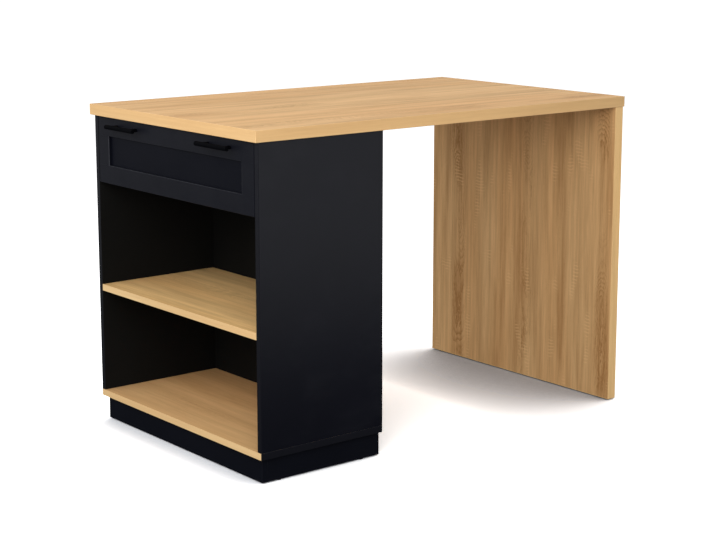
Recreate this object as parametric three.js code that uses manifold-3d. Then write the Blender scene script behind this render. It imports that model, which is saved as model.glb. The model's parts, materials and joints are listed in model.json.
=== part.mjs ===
// Kitchen island: an oak worktop carried by a black cabinet at one end and an oak leg panel at the other.
// Millimetres, +Z up. X runs along the worktop from the cabinet (-X) to the leg panel (+X), and Y runs
// across it, with the near side at -Y. The floor is z = 0. The drawer and the open shelves face -X.

import * as THREE from 'three';
import { mergeVertices } from 'three/addons/utils/BufferGeometryUtils.js';
import Module from 'manifold-3d';

// ---------------------------------------------------------------------------------------------------------
// Driving dimensions
// ---------------------------------------------------------------------------------------------------------

// Overall form
const OVERALL_HEIGHT = 900;
const WORKTOP_LENGTH = 1300;
const WORKTOP_WIDTH = 790;
const WORKTOP_THICKNESS = 30;
const WORKTOP_ARRIS = 1.2;

// Cabinet, measured from the worktop's edges
const FRONT_OVERHANG = 12;
const SIDE_OVERHANG = 7;
const CABINET_DEPTH = 392;
const SIDE_THICKNESS = 16;
const BACK_THICKNESS = 16;
const BOTTOM_THICKNESS = 18;
const BOARD_ARRIS = 0.6;

// Middle shelf and the pins that carry it
const SHELF_UNDERSIDE = 375;
const SHELF_THICKNESS = 18;
const SHELF_END_PLAY = 0.8;
const SHELF_BACK_PLAY = 3;
const PIN_RADIUS = 2.5;
const PIN_SEAT = 9;
const PIN_REACH = 9;
const PIN_COLLAR_RADIUS = 4;
const PIN_COLLAR_THICKNESS = 1.5;
const PIN_SETBACK = 48;

// Plinth
const PLINTH_HEIGHT = 68;
const PLINTH_THICKNESS = 16;
const PLINTH_FRONT_INSET = 13;
const PLINTH_SIDE_INSET = 15;

// Leg panel
const LEG_THICKNESS = 30;
const LEG_END_OVERHANG = 5;
const LEG_SIDE_OVERHANG = 1;

// Glides under the plinth and the leg panel
const GLIDE_HEIGHT = 3;
const PLINTH_GLIDE_RADIUS = 7;
const LEG_GLIDE_RADIUS = 11;
const GLIDE_BEVEL = 1;
const GLIDE_SETBACK = 40;

// Stretchers that tie the side panels together under the worktop, and their screws
const STRETCHER_WIDTH = 70;
const STRETCHER_THICKNESS = 16;
const STRETCHER_FRONT_GAP = 6;
const WORKTOP_SCREW_RADIUS = 2;
const WORKTOP_SCREW_BITE = 16;
const WORKTOP_SCREW_SETBACK = 92;
const SCREW_HEAD_RADIUS = 4;
const SCREW_HEAD_CROWN_RADIUS = 2.8;
const SCREW_HEAD_HEIGHT = 2.6;

// Cam locks that draw the leg panel up against the worktop
const CAM_RADIUS = 7.5;
const CAM_DEPTH = 12.5;
const CAM_DROP = 34;
const CAM_SETBACK = 84;
const CAM_COUNT = 3;
const CAM_MOUTH_DEPTH = 9;
const CAM_SLOT_LENGTH = 8;
const CAM_SLOT_WIDTH = 1.6;
const CAM_SLOT_DEPTH = 3;
const BOLT_HEAD_RADIUS = 3.2;
const BOLT_HEAD_LENGTH = 3;
const BOLT_NECK_RADIUS = 2.2;
const BOLT_NECK_LENGTH = 4;
const BOLT_BODY_RADIUS = 3.5;
const BOLT_THREAD_RADIUS = 3;
const BOLT_BITE = 12;

// Drawer front: two rails over two stiles, round a recessed panel
const FRONT_THICKNESS = 18;
const FRONT_HEIGHT = 183;
const FRONT_SIDE_GAP = 2;
const FRONT_TOP_GAP = 3;
const RAIL_HEIGHT = 51;
const STILE_WIDTH = 53;
const PANEL_THICKNESS = 6;
const PANEL_RECESS = 7;
const GROOVE_DEPTH = 8;
const FRAME_ARRIS = 1;

// Drawer box
const BOX_WALL = 12;
const BOX_RISE = 16;
const BOX_HEADROOM = 34;
const BOX_BOTTOM_THICKNESS = 4;
const BOX_BOTTOM_RISE = 10;
const BOX_GROOVE_DEPTH = 6;

// Handles: a round bar on two posts
const HANDLE_SETBACK = 150;
const HANDLE_DROP = 21;
const HANDLE_LENGTH = 140;
const HANDLE_POST_SPACING = 96;
const HANDLE_PROJECTION = 30;
const HANDLE_BAR_RADIUS = 6;
const HANDLE_BAR_CHAMFER = 0.8;
const HANDLE_POST_RADIUS = 4.5;
const HANDLE_SCREW_RADIUS = 2;
const HANDLE_SCREW_BITE = 12;

// Ball runners: cabinet member, middle member and drawer member, with balls between them
const DRAWER_TRAVEL = 340;
const RUNNER_RISE = 50;
const RUNNER_HEIGHT = 45.6;
const RUNNER_FRONT_GAP = 2;
const RUNNER_REAR_GAP = 6;
const RUNNER_SHEET = 1.2;
const RUNNER_SLOT_LENGTH = 9;
const RUNNER_SLOT_WIDTH = 4.6;
const RUNNER_SLOT_PITCH = 128;
const RUNNER_SLOT_COUNT = 3;
const BALL_RADIUS = 2;
const BALL_PITCH = 28;
const BALLS_PER_ROW = 5;
const RACE_DEPTH = 0.6;
const RACE_MARGIN = 0.32;
const RACE_LIP = 0.5;
const RETAINER_SHEET = 0.6;
const RETAINER_LIP = 0.4;
const RETAINER_END = 12;

// Clearances
const SEAT_GAP = 0.3;
const BORE_PLAY = 0.3;
const RACE_PLAY = 0.2;
const GROOVE_PLAY = 0.8;

// How far a cutter reaches past the face that it opens
const CUT_OVERSHOOT = 1;

// Roundness of handles and cams, of glides, of screws and pins and their bores, of races, and of balls
const ROUND_STEPS = 24;
const GLIDE_STEPS = 16;
const SCREW_STEPS = 12;
const ARC_STEPS = 5;
const BALL_STEPS = 6;
const BALL_RINGS = 4;

// ---------------------------------------------------------------------------------------------------------
// Planes that the pieces share
// ---------------------------------------------------------------------------------------------------------

const worktopUnderside = OVERALL_HEIGHT - WORKTOP_THICKNESS;
const cabinetFront = FRONT_OVERHANG - WORKTOP_LENGTH / 2;
const cabinetBack = cabinetFront + CABINET_DEPTH;
const cabinetHalfWidth = WORKTOP_WIDTH / 2 - SIDE_OVERHANG;
const insideHalfWidth = cabinetHalfWidth - SIDE_THICKNESS;
const insideBack = cabinetBack - BACK_THICKNESS;
const bottomTop = PLINTH_HEIGHT + BOTTOM_THICKNESS;
const stretcherUnderside = worktopUnderside - SEAT_GAP - STRETCHER_THICKNESS;
const legOuterFace = WORKTOP_LENGTH / 2 - LEG_END_OVERHANG;
const legInnerFace = legOuterFace - LEG_THICKNESS;
const legHalfWidth = WORKTOP_WIDTH / 2 - LEG_SIDE_OVERHANG;
const legTop = worktopUnderside - SEAT_GAP;
const footLevel = GLIDE_HEIGHT + SEAT_GAP;

// The drawer has a frame of its own: x = 0 at the front's face, z = 0 at the front's lower edge
const drawerLevel = worktopUnderside - FRONT_TOP_GAP - FRONT_HEIGHT;
const frontHalfWidth = insideHalfWidth - FRONT_SIDE_GAP;
const runnerLength = CABINET_DEPTH - BACK_THICKNESS - FRONT_THICKNESS - RUNNER_FRONT_GAP - RUNNER_REAR_GAP;

// Across a runner, from the side panel's face: the middle member's web, the two rows of balls, the whole
const raceRadius = BALL_RADIUS + RACE_PLAY + RUNNER_SHEET / 2;
const raceHalfAngle = Math.acos(1 - RACE_DEPTH / raceRadius);
const raceHalfWidth = raceRadius * Math.sin(raceHalfAngle);
const middleWeb = RUNNER_SHEET + 2 * SEAT_GAP + RETAINER_SHEET + RUNNER_SHEET / 2;
const outerBallOffset = middleWeb + RUNNER_SHEET / 2 + RACE_MARGIN + raceHalfWidth;
const innerBallOffset = outerBallOffset + 2 * raceHalfWidth + RACE_MARGIN;
const runnerThickness = innerBallOffset + raceHalfWidth + RACE_MARGIN + RUNNER_SHEET;

const boxFront = FRONT_THICKNESS + SEAT_GAP;
const boxBack = FRONT_THICKNESS + RUNNER_FRONT_GAP + runnerLength;
const boxHalfWidth = insideHalfWidth - runnerThickness - 2 * SEAT_GAP;
const boxTop = stretcherUnderside - BOX_HEADROOM - drawerLevel;
const handleLevel = FRONT_HEIGHT - HANDLE_DROP;
const handleMiddle = frontHalfWidth - HANDLE_SETBACK;

const SIDES = [
  { side: 'near', sign: -1 },
  { side: 'far', sign: 1 },
];

// ---------------------------------------------------------------------------------------------------------
// Finishes
// ---------------------------------------------------------------------------------------------------------

const FINISHES = {
  oak: { color: 0xddb586, roughness: 0.55, metalness: 0 },
  blackBoard: { color: 0x24262b, roughness: 0.6, metalness: 0 },
  blackPaint: { color: 0x1f2126, roughness: 0.5, metalness: 0 },
  blackMetal: { color: 0x141519, roughness: 0.35, metalness: 0.6 },
  zincSteel: { color: 0xb4b8bc, roughness: 0.35, metalness: 1 },
  darkPlastic: { color: 0x2b2a29, roughness: 0.7, metalness: 0 },
};

/** One named piece: its own mesh with its own material, placed at a point of its group. */
function addPiece(group, name, geometry, finish, x = 0, y = 0, z = 0) {
  geometry.computeVertexNormals();
  const piece = new THREE.Mesh(geometry, new THREE.MeshStandardMaterial(FINISHES[finish]));
  piece.name = name;
  piece.position.set(x, y, z);
  group.add(piece);
}

// ---------------------------------------------------------------------------------------------------------
// Joining and cutting closed geometries
// ---------------------------------------------------------------------------------------------------------

const manifold = await Module();
manifold.setup();

/** A closed geometry as a solid that can be joined and cut. */
function toSolid(geometry) {
  const bare = geometry.clone();
  bare.deleteAttribute('normal');
  bare.deleteAttribute('uv');
  const merged = mergeVertices(bare, 1e-4);
  return new manifold.Manifold(new manifold.Mesh({
    numProp: 3,
    vertProperties: new Float32Array(merged.getAttribute('position').array),
    triVerts: new Uint32Array(merged.getIndex().array),
  }));
}

/** A solid's surface as a geometry with flat faces. */
function toGeometry(solid) {
  const { vertProperties, triVerts } = solid.getMesh();
  const geometry = new THREE.BufferGeometry();
  geometry.setAttribute('position', new THREE.BufferAttribute(vertProperties, 3));
  geometry.setIndex(new THREE.BufferAttribute(triVerts, 1));
  return geometry.toNonIndexed();
}

/** The body with every cutter taken out of it. */
function cut(body, cutters) {
  const solid = cutters.reduce((rest, cutter) => rest.subtract(toSolid(cutter)), toSolid(body));
  return toGeometry(solid);
}

/** Overlapping geometries as one body. */
function join(geometries) {
  const [first, ...others] = geometries.map(toSolid);
  return toGeometry(others.reduce((sum, other) => sum.add(other), first));
}

// ---------------------------------------------------------------------------------------------------------
// Forms that repeat
// ---------------------------------------------------------------------------------------------------------

/** Turns a shape drawn in Y and Z and extruded along its normal so that it runs along X. */
const ALONG_X = new THREE.Matrix4().makeBasis(
  new THREE.Vector3(0, 1, 0),
  new THREE.Vector3(0, 0, 1),
  new THREE.Vector3(1, 0, 0),
);

/** Turns a shape drawn in X and Z so that it runs along Y. */
const ALONG_Y = new THREE.Matrix4().makeBasis(
  new THREE.Vector3(1, 0, 0),
  new THREE.Vector3(0, 0, 1),
  new THREE.Vector3(0, -1, 0),
);

/** A board centred on its own middle, with all its arrises eased. */
function boardGeometry(length, width, thickness, arris) {
  const corner = 2 * arris;
  const [x, y] = [length / 2, width / 2];
  const outline = new THREE.Shape();
  outline.absarc(x - corner, y - corner, corner, 0, Math.PI / 2);
  outline.absarc(corner - x, y - corner, corner, Math.PI / 2, Math.PI);
  outline.absarc(corner - x, corner - y, corner, Math.PI, 1.5 * Math.PI);
  outline.absarc(x - corner, corner - y, corner, 1.5 * Math.PI, 2 * Math.PI);
  const geometry = new THREE.ExtrudeGeometry(outline, {
    depth: thickness - 2 * arris,
    bevelEnabled: true,
    bevelThickness: arris,
    bevelSize: arris,
    bevelOffset: -arris,
    bevelSegments: 1,
    curveSegments: 1,
  });
  return geometry.translate(0, 0, arris - thickness / 2);
}

/** Adds a board between two corners of its group, with cutters given in the group's frame. */
function addBoard(group, name, finish, low, high, { arris = BOARD_ARRIS, cutters = [] } = {}) {
  const size = new THREE.Vector3().subVectors(high, low);
  const middle = new THREE.Vector3().addVectors(low, high).multiplyScalar(0.5);
  const blank = boardGeometry(size.x, size.y, size.z, arris);
  const moved = cutters.map((cutter) => cutter.translate(-middle.x, -middle.y, -middle.z));
  const geometry = moved.length > 0 ? cut(blank, moved) : blank;
  addPiece(group, name, geometry, finish, middle.x, middle.y, middle.z);
}

/** A cylinder from one point to another. */
function rod(start, end, radius, steps = ROUND_STEPS) {
  const run = new THREE.Vector3().subVectors(end, start);
  const turn = new THREE.Quaternion().setFromUnitVectors(new THREE.Vector3(0, 1, 0), run.clone().normalize());
  const middle = new THREE.Vector3().addVectors(start, end).multiplyScalar(0.5);
  return new THREE.CylinderGeometry(radius, radius, run.length(), steps)
    .applyQuaternion(turn)
    .translate(middle.x, middle.y, middle.z);
}

/** A turned piece whose outline is given as [radius, height] pairs, standing on the XY plane. */
function turned(outline, steps = ROUND_STEPS) {
  const points = outline.map(([radius, height]) => new THREE.Vector2(radius, height));
  return new THREE.LatheGeometry(points, steps).rotateX(Math.PI / 2);
}

/** A plain block between two corners. */
function block(low, high) {
  const size = new THREE.Vector3().subVectors(high, low);
  const middle = new THREE.Vector3().addVectors(low, high).multiplyScalar(0.5);
  return new THREE.BoxGeometry(size.x, size.y, size.z).translate(middle.x, middle.y, middle.z);
}

/** Points of an arc about a centre, from one angle to another. */
function arcPoints(centre, radius, from, to) {
  const points = [];
  for (let step = 0; step <= ARC_STEPS; step += 1) {
    const angle = from + ((to - from) * step) / ARC_STEPS;
    points.push(new THREE.Vector2(centre.x + radius * Math.cos(angle), centre.y + radius * Math.sin(angle)));
  }
  return points;
}

/** The closed outline of folded sheet whose middle line runs through the points, with mitred folds. */
function sheetOutline(points, thickness) {
  const directions = points.slice(1).map((point, index) => point.clone().sub(points[index]).normalize());
  const offsetPoints = (distance) => points.map((point, index) => {
    const before = directions[Math.max(index - 1, 0)];
    const after = directions[Math.min(index, directions.length - 1)];
    const mitre = new THREE.Vector2(-before.y - after.y, before.x + after.x).normalize();
    const reach = distance / (mitre.x * -after.y + mitre.y * after.x);
    return point.clone().addScaledVector(mitre, reach);
  });
  return new THREE.Shape([...offsetPoints(-thickness / 2), ...offsetPoints(thickness / 2).reverse()]);
}

/** A shape drawn in Y and Z, extruded along X from zero. */
function extrudeAlongX(shape, length) {
  return new THREE.ExtrudeGeometry(shape, { depth: length, bevelEnabled: false }).applyMatrix4(ALONG_X);
}

/** A screw with a pan head at z = 0 and its shank reaching up to its length. */
function panHeadScrew(shankRadius, length) {
  return turned([
    [0, -SCREW_HEAD_HEIGHT],
    [SCREW_HEAD_CROWN_RADIUS, -SCREW_HEAD_HEIGHT],
    [SCREW_HEAD_RADIUS, -SCREW_HEAD_HEIGHT / 2],
    [SCREW_HEAD_RADIUS, 0],
    [shankRadius, 0],
    [shankRadius, length - shankRadius],
    [0, length],
  ], SCREW_STEPS);
}

const point = (x, y, z) => new THREE.Vector3(x, y, z);

// ---------------------------------------------------------------------------------------------------------
// Cabinet
// ---------------------------------------------------------------------------------------------------------

/** Places of the two screws in each stretcher, as [x, y]. */
function worktopScrewPlaces() {
  const frontX = cabinetFront + FRONT_THICKNESS + STRETCHER_FRONT_GAP + STRETCHER_WIDTH / 2;
  const backX = insideBack - SEAT_GAP - STRETCHER_WIDTH / 2;
  const y = insideHalfWidth - WORKTOP_SCREW_SETBACK;
  return [frontX, backX].flatMap((x) => SIDES.map(({ sign }) => [x, sign * y]));
}

/** Places of the shelf pins along X. */
function pinPlaces() {
  return [cabinetFront + PIN_SETBACK, insideBack - PIN_SETBACK];
}

const pinLevel = SHELF_UNDERSIDE - SEAT_GAP - PIN_RADIUS;

function addCarcass(group) {
  for (const { side, sign } of SIDES) {
    const [inner, outer] = [sign * insideHalfWidth, sign * cabinetHalfWidth];
    const pinBores = pinPlaces().map((x) => rod(
      point(x, inner - sign * CUT_OVERSHOOT, pinLevel),
      point(x, inner + sign * (PIN_SEAT + BORE_PLAY), pinLevel),
      PIN_RADIUS + BORE_PLAY,
      SCREW_STEPS,
    ));
    addBoard(group, `side_panel_${side}`, 'blackBoard',
      point(cabinetFront, Math.min(inner, outer), bottomTop + SEAT_GAP),
      point(cabinetBack, Math.max(inner, outer), worktopUnderside - SEAT_GAP),
      { cutters: pinBores });
  }
  addBoard(group, 'back_panel', 'blackBoard',
    point(insideBack, SEAT_GAP - insideHalfWidth, bottomTop + SEAT_GAP),
    point(cabinetBack, insideHalfWidth - SEAT_GAP, worktopUnderside - SEAT_GAP));
  addBoard(group, 'bottom_board', 'oak',
    point(cabinetFront, -cabinetHalfWidth, PLINTH_HEIGHT),
    point(cabinetBack, cabinetHalfWidth, bottomTop));
  addBoard(group, 'middle_shelf', 'oak',
    point(cabinetFront, SHELF_END_PLAY - insideHalfWidth, SHELF_UNDERSIDE),
    point(insideBack - SHELF_BACK_PLAY, insideHalfWidth - SHELF_END_PLAY, SHELF_UNDERSIDE + SHELF_THICKNESS));
}

/** Pegs in the side panels that the middle shelf rests on. */
function addShelfPins(group) {
  const outline = [
    [0, -PIN_SEAT],
    [PIN_RADIUS, -PIN_SEAT],
    [PIN_RADIUS, 0],
    [PIN_COLLAR_RADIUS, 0],
    [PIN_COLLAR_RADIUS, PIN_COLLAR_THICKNESS],
    [PIN_RADIUS, PIN_COLLAR_THICKNESS],
    [PIN_RADIUS, PIN_REACH],
    [0, PIN_REACH],
  ];
  for (const { side, sign } of SIDES) {
    pinPlaces().forEach((x, index) => {
      const geometry = turned(outline, SCREW_STEPS).rotateX((sign * Math.PI) / 2);
      const collarTop = block(
        point(-PIN_COLLAR_RADIUS, -PIN_SEAT, PIN_RADIUS),
        point(PIN_COLLAR_RADIUS, PIN_SEAT, PIN_COLLAR_RADIUS + CUT_OVERSHOOT),
      );
      addPiece(group, `shelf_pin_${side}_${index + 1}`, cut(geometry, [collarTop]), 'zincSteel',
        x, sign * (insideHalfWidth - SEAT_GAP), pinLevel);
    });
  }
}

function addPlinth(group) {
  const front = cabinetFront + PLINTH_FRONT_INSET;
  const half = cabinetHalfWidth - PLINTH_SIDE_INSET;
  const top = PLINTH_HEIGHT - SEAT_GAP;
  addBoard(group, 'plinth_front', 'blackBoard',
    point(front, -half, footLevel),
    point(front + PLINTH_THICKNESS, half, top));
  addBoard(group, 'plinth_back', 'blackBoard',
    point(cabinetBack - PLINTH_THICKNESS, -half, footLevel),
    point(cabinetBack, half, top));
  const railFront = front + PLINTH_THICKNESS + SEAT_GAP;
  const railBack = cabinetBack - PLINTH_THICKNESS - SEAT_GAP;
  for (const { side, sign } of SIDES) {
    const [inner, outer] = [sign * (half - PLINTH_THICKNESS), sign * half];
    addBoard(group, `plinth_${side}`, 'blackBoard',
      point(railFront, Math.min(inner, outer), footLevel),
      point(railBack, Math.max(inner, outer), top));
    [railFront + GLIDE_SETBACK, railBack - GLIDE_SETBACK].forEach((x, index) => {
      addGlide(group, `plinth_glide_${side}_${index + 1}`, PLINTH_GLIDE_RADIUS,
        x, sign * (half - PLINTH_THICKNESS / 2));
    });
  }
}

/** A plastic disc between the floor and a board's lower edge. */
function addGlide(group, name, radius, x, y) {
  const outline = [
    [0, 0],
    [radius - GLIDE_BEVEL, 0],
    [radius, GLIDE_BEVEL],
    [radius, GLIDE_HEIGHT],
    [0, GLIDE_HEIGHT],
  ];
  addPiece(group, name, turned(outline, GLIDE_STEPS), 'darkPlastic', x, y, 0);
}

/** Flat boards under the worktop, and the screws that hold the worktop down on them. */
function addStretchers(group) {
  const screwPlaces = worktopScrewPlaces();
  const frontLow = cabinetFront + FRONT_THICKNESS + STRETCHER_FRONT_GAP;
  const backLow = insideBack - SEAT_GAP - STRETCHER_WIDTH;
  const places = [['front', frontLow], ['back', backLow]];
  for (const [end, low] of places) {
    const bores = screwPlaces
      .filter(([x]) => x > low && x < low + STRETCHER_WIDTH)
      .map(([x, y]) => rod(
        point(x, y, stretcherUnderside - CUT_OVERSHOOT),
        point(x, y, worktopUnderside + CUT_OVERSHOOT),
        WORKTOP_SCREW_RADIUS + BORE_PLAY,
        SCREW_STEPS,
      ));
    addBoard(group, `stretcher_${end}`, 'blackBoard',
      point(low, SEAT_GAP - insideHalfWidth, stretcherUnderside),
      point(low + STRETCHER_WIDTH, insideHalfWidth - SEAT_GAP, worktopUnderside - SEAT_GAP),
      { cutters: bores });
  }
  const screwLength = STRETCHER_THICKNESS + SEAT_GAP + WORKTOP_SCREW_BITE;
  screwPlaces.forEach(([x, y], index) => {
    addPiece(group, `worktop_screw_${index + 1}`, panHeadScrew(WORKTOP_SCREW_RADIUS, screwLength),
      'zincSteel', x, y, stretcherUnderside - SEAT_GAP);
  });
}

// ---------------------------------------------------------------------------------------------------------
// Worktop and leg panel
// ---------------------------------------------------------------------------------------------------------

const camX = legInnerFace + CAM_DEPTH + SEAT_GAP;
const camLevel = legTop - CAM_DROP;
const boltX = legInnerFace + SEAT_GAP + CAM_DEPTH / 2;
const boltFoot = camLevel - BOLT_HEAD_LENGTH / 2;

/** Places of the cam locks along the leg panel, spread evenly between its ends. */
function camPlaces() {
  const half = legHalfWidth - CAM_SETBACK;
  return Array.from({ length: CAM_COUNT }, (_, index) => half * ((2 * index) / (CAM_COUNT - 1) - 1));
}

function addWorktop(group) {
  const screwBores = worktopScrewPlaces().map(([x, y]) => rod(
    point(x, y, worktopUnderside - CUT_OVERSHOOT),
    point(x, y, worktopUnderside + WORKTOP_SCREW_BITE + BORE_PLAY),
    WORKTOP_SCREW_RADIUS + BORE_PLAY,
    SCREW_STEPS,
  ));
  const boltBores = camPlaces().map((y) => rod(
    point(boltX, y, worktopUnderside - CUT_OVERSHOOT),
    point(boltX, y, worktopUnderside + BOLT_BITE + BORE_PLAY),
    BOLT_THREAD_RADIUS + BORE_PLAY,
    SCREW_STEPS,
  ));
  addBoard(group, 'worktop', 'oak',
    point(-WORKTOP_LENGTH / 2, -WORKTOP_WIDTH / 2, worktopUnderside),
    point(WORKTOP_LENGTH / 2, WORKTOP_WIDTH / 2, OVERALL_HEIGHT),
    { arris: WORKTOP_ARRIS, cutters: [...screwBores, ...boltBores] });
}

function addLegPanel(group) {
  const pockets = camPlaces().map((y) => rod(
    point(legInnerFace - CUT_OVERSHOOT, y, camLevel),
    point(camX + SEAT_GAP, y, camLevel),
    CAM_RADIUS + BORE_PLAY,
  ));
  const boltBores = camPlaces().map((y) => rod(
    point(boltX, y, camLevel),
    point(boltX, y, legTop + CUT_OVERSHOOT),
    BOLT_BODY_RADIUS + BORE_PLAY,
    SCREW_STEPS,
  ));
  addBoard(group, 'leg_panel', 'oak',
    point(legInnerFace, -legHalfWidth, footLevel),
    point(legOuterFace, legHalfWidth, legTop),
    { cutters: [...pockets, ...boltBores] });
  SIDES.forEach(({ side, sign }) => {
    addGlide(group, `leg_glide_${side}`, LEG_GLIDE_RADIUS,
      (legInnerFace + legOuterFace) / 2, sign * (legHalfWidth - GLIDE_SETBACK));
  });
}

/** A disc with a crossed slot in its face and a mouth in its rim, over the head of the bolt. */
function camGeometry() {
  const disc = rod(point(-CAM_DEPTH, 0, 0), point(0, 0, 0), CAM_RADIUS);
  const mouth = rod(
    point(-CAM_DEPTH / 2, 0, CAM_RADIUS - CAM_MOUTH_DEPTH),
    point(-CAM_DEPTH / 2, 0, CAM_RADIUS + CUT_OVERSHOOT),
    BOLT_HEAD_RADIUS + BORE_PLAY,
    SCREW_STEPS,
  );
  const [long, wide] = [CAM_SLOT_LENGTH / 2, CAM_SLOT_WIDTH / 2];
  const slotFloor = CAM_SLOT_DEPTH - CAM_DEPTH;
  const slotMouth = -CAM_DEPTH - CUT_OVERSHOOT;
  const slots = [
    block(point(slotMouth, -long, -wide), point(slotFloor, long, wide)),
    block(point(slotMouth, -wide, -long), point(slotFloor, wide, long)),
  ];
  return cut(disc, [mouth, ...slots]);
}

/** A bolt with its head in the cam, its body in the leg panel and its thread in the worktop. */
function camBoltGeometry() {
  const neckTop = BOLT_HEAD_LENGTH + BOLT_NECK_LENGTH;
  const bodyTop = worktopUnderside - SEAT_GAP - boltFoot;
  const threadTop = worktopUnderside + BOLT_BITE - boltFoot;
  return turned([
    [0, 0],
    [BOLT_HEAD_RADIUS, 0],
    [BOLT_HEAD_RADIUS, BOLT_HEAD_LENGTH],
    [BOLT_NECK_RADIUS, BOLT_HEAD_LENGTH],
    [BOLT_NECK_RADIUS, neckTop],
    [BOLT_BODY_RADIUS, neckTop],
    [BOLT_BODY_RADIUS, bodyTop],
    [BOLT_THREAD_RADIUS, bodyTop],
    [BOLT_THREAD_RADIUS, threadTop],
    [0, threadTop],
  ], SCREW_STEPS);
}

function addCamLocks(group) {
  camPlaces().forEach((y, index) => {
    addPiece(group, `cam_lock_${index + 1}`, camGeometry(), 'zincSteel', camX, y, camLevel);
    addPiece(group, `cam_bolt_${index + 1}`, camBoltGeometry(), 'zincSteel', boltX, y, boltFoot);
  });
}

// ---------------------------------------------------------------------------------------------------------
// Drawer: front
// ---------------------------------------------------------------------------------------------------------

const grooveNear = PANEL_RECESS - SEAT_GAP;
const grooveFar = PANEL_RECESS + PANEL_THICKNESS + SEAT_GAP;
const grooveReach = GROOVE_DEPTH - GROOVE_PLAY;

/** Section of a frame member: x is depth from the face, and y runs from its outer edge to its groove. */
function frameSection(width) {
  const eased = FRAME_ARRIS;
  return new THREE.Shape([
    new THREE.Vector2(eased, 0),
    new THREE.Vector2(FRONT_THICKNESS, 0),
    new THREE.Vector2(FRONT_THICKNESS, width),
    new THREE.Vector2(grooveFar, width),
    new THREE.Vector2(grooveFar, width - GROOVE_DEPTH),
    new THREE.Vector2(grooveNear, width - GROOVE_DEPTH),
    new THREE.Vector2(grooveNear, width),
    new THREE.Vector2(eased, width),
    new THREE.Vector2(0, width - eased),
    new THREE.Vector2(0, eased),
  ]);
}

/** Bores for the handles' screws, through the top rail. */
function handleBores() {
  return handlePostPlaces().map((y) => rod(
    point(-CUT_OVERSHOOT, y, handleLevel),
    point(FRONT_THICKNESS + CUT_OVERSHOOT, y, handleLevel),
    HANDLE_SCREW_RADIUS + BORE_PLAY,
    SCREW_STEPS,
  ));
}

function addFrontFrame(drawer) {
  const railBlank = () => new THREE.ExtrudeGeometry(frameSection(RAIL_HEIGHT), {
    depth: 2 * frontHalfWidth,
    bevelEnabled: false,
  }).applyMatrix4(ALONG_Y).translate(0, frontHalfWidth, 0);
  const topRail = railBlank().translate(0, 0, -RAIL_HEIGHT / 2).rotateX(Math.PI)
    .translate(0, 0, FRONT_HEIGHT - RAIL_HEIGHT / 2);
  addPiece(drawer, 'front_rail_bottom', railBlank(), 'blackPaint');
  addPiece(drawer, 'front_rail_top', cut(topRail, handleBores()), 'blackPaint');

  const stileLength = FRONT_HEIGHT - 2 * RAIL_HEIGHT - 2 * SEAT_GAP;
  const stile = new THREE.ExtrudeGeometry(frameSection(STILE_WIDTH), {
    depth: stileLength,
    bevelEnabled: false,
  });
  const tenon = block(
    point(PANEL_RECESS, FRAME_ARRIS, -grooveReach),
    point(PANEL_RECESS + PANEL_THICKNESS, STILE_WIDTH - GROOVE_DEPTH, stileLength + grooveReach),
  );
  const tenoned = join([stile, tenon]);
  for (const { side, sign } of SIDES) {
    const geometry = tenoned.clone();
    if (sign > 0) {
      geometry.translate(0, 0, -stileLength / 2).rotateX(Math.PI).translate(0, 0, stileLength / 2);
    }
    addPiece(drawer, `front_stile_${side}`, geometry, 'blackPaint',
      0, sign * frontHalfWidth, RAIL_HEIGHT + SEAT_GAP);
  }

  const panelHalfWidth = frontHalfWidth - STILE_WIDTH + grooveReach;
  addBoard(drawer, 'front_panel', 'blackPaint',
    point(PANEL_RECESS, -panelHalfWidth, RAIL_HEIGHT - grooveReach),
    point(PANEL_RECESS + PANEL_THICKNESS, panelHalfWidth, FRONT_HEIGHT - RAIL_HEIGHT + grooveReach));
}

// ---------------------------------------------------------------------------------------------------------
// Drawer: handles
// ---------------------------------------------------------------------------------------------------------

/** Places of all four handle posts along Y. */
function handlePostPlaces() {
  return SIDES.flatMap(({ sign }) => [-1, 1].map(
    (end) => sign * handleMiddle + (end * HANDLE_POST_SPACING) / 2,
  ));
}

/** A bar along Y on two posts that stand on the face x = 0, centred on the handle's own middle. */
function handleGeometry() {
  const reach = HANDLE_LENGTH / 2;
  const barX = HANDLE_BAR_RADIUS - HANDLE_PROJECTION;
  const bar = turned([
    [0, -reach],
    [HANDLE_BAR_RADIUS - HANDLE_BAR_CHAMFER, -reach],
    [HANDLE_BAR_RADIUS, HANDLE_BAR_CHAMFER - reach],
    [HANDLE_BAR_RADIUS, reach - HANDLE_BAR_CHAMFER],
    [HANDLE_BAR_RADIUS - HANDLE_BAR_CHAMFER, reach],
    [0, reach],
  ]).rotateX(Math.PI / 2).translate(barX, 0, 0);
  const posts = [-1, 1].map((end) => {
    const y = (end * HANDLE_POST_SPACING) / 2;
    return rod(point(barX, y, 0), point(-SEAT_GAP, y, 0), HANDLE_POST_RADIUS, GLIDE_STEPS);
  });
  const threads = [-1, 1].map((end) => {
    const y = (end * HANDLE_POST_SPACING) / 2;
    return rod(
      point(-HANDLE_SCREW_BITE - BORE_PLAY, y, 0),
      point(CUT_OVERSHOOT, y, 0),
      HANDLE_SCREW_RADIUS + BORE_PLAY,
      SCREW_STEPS,
    );
  });
  return cut(join([bar, ...posts]), threads);
}

function addHandles(drawer) {
  for (const { side, sign } of SIDES) {
    addPiece(drawer, `handle_${side}`, handleGeometry(), 'blackMetal',
      0, sign * handleMiddle, handleLevel);
  }
  const screwLength = FRONT_THICKNESS + SEAT_GAP + HANDLE_SCREW_BITE;
  handlePostPlaces().forEach((y, index) => {
    const screw = panHeadScrew(HANDLE_SCREW_RADIUS, screwLength).rotateY(-Math.PI / 2);
    addPiece(drawer, `handle_screw_${index + 1}`, screw, 'zincSteel',
      FRONT_THICKNESS + SEAT_GAP, y, handleLevel);
  });
}

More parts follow.
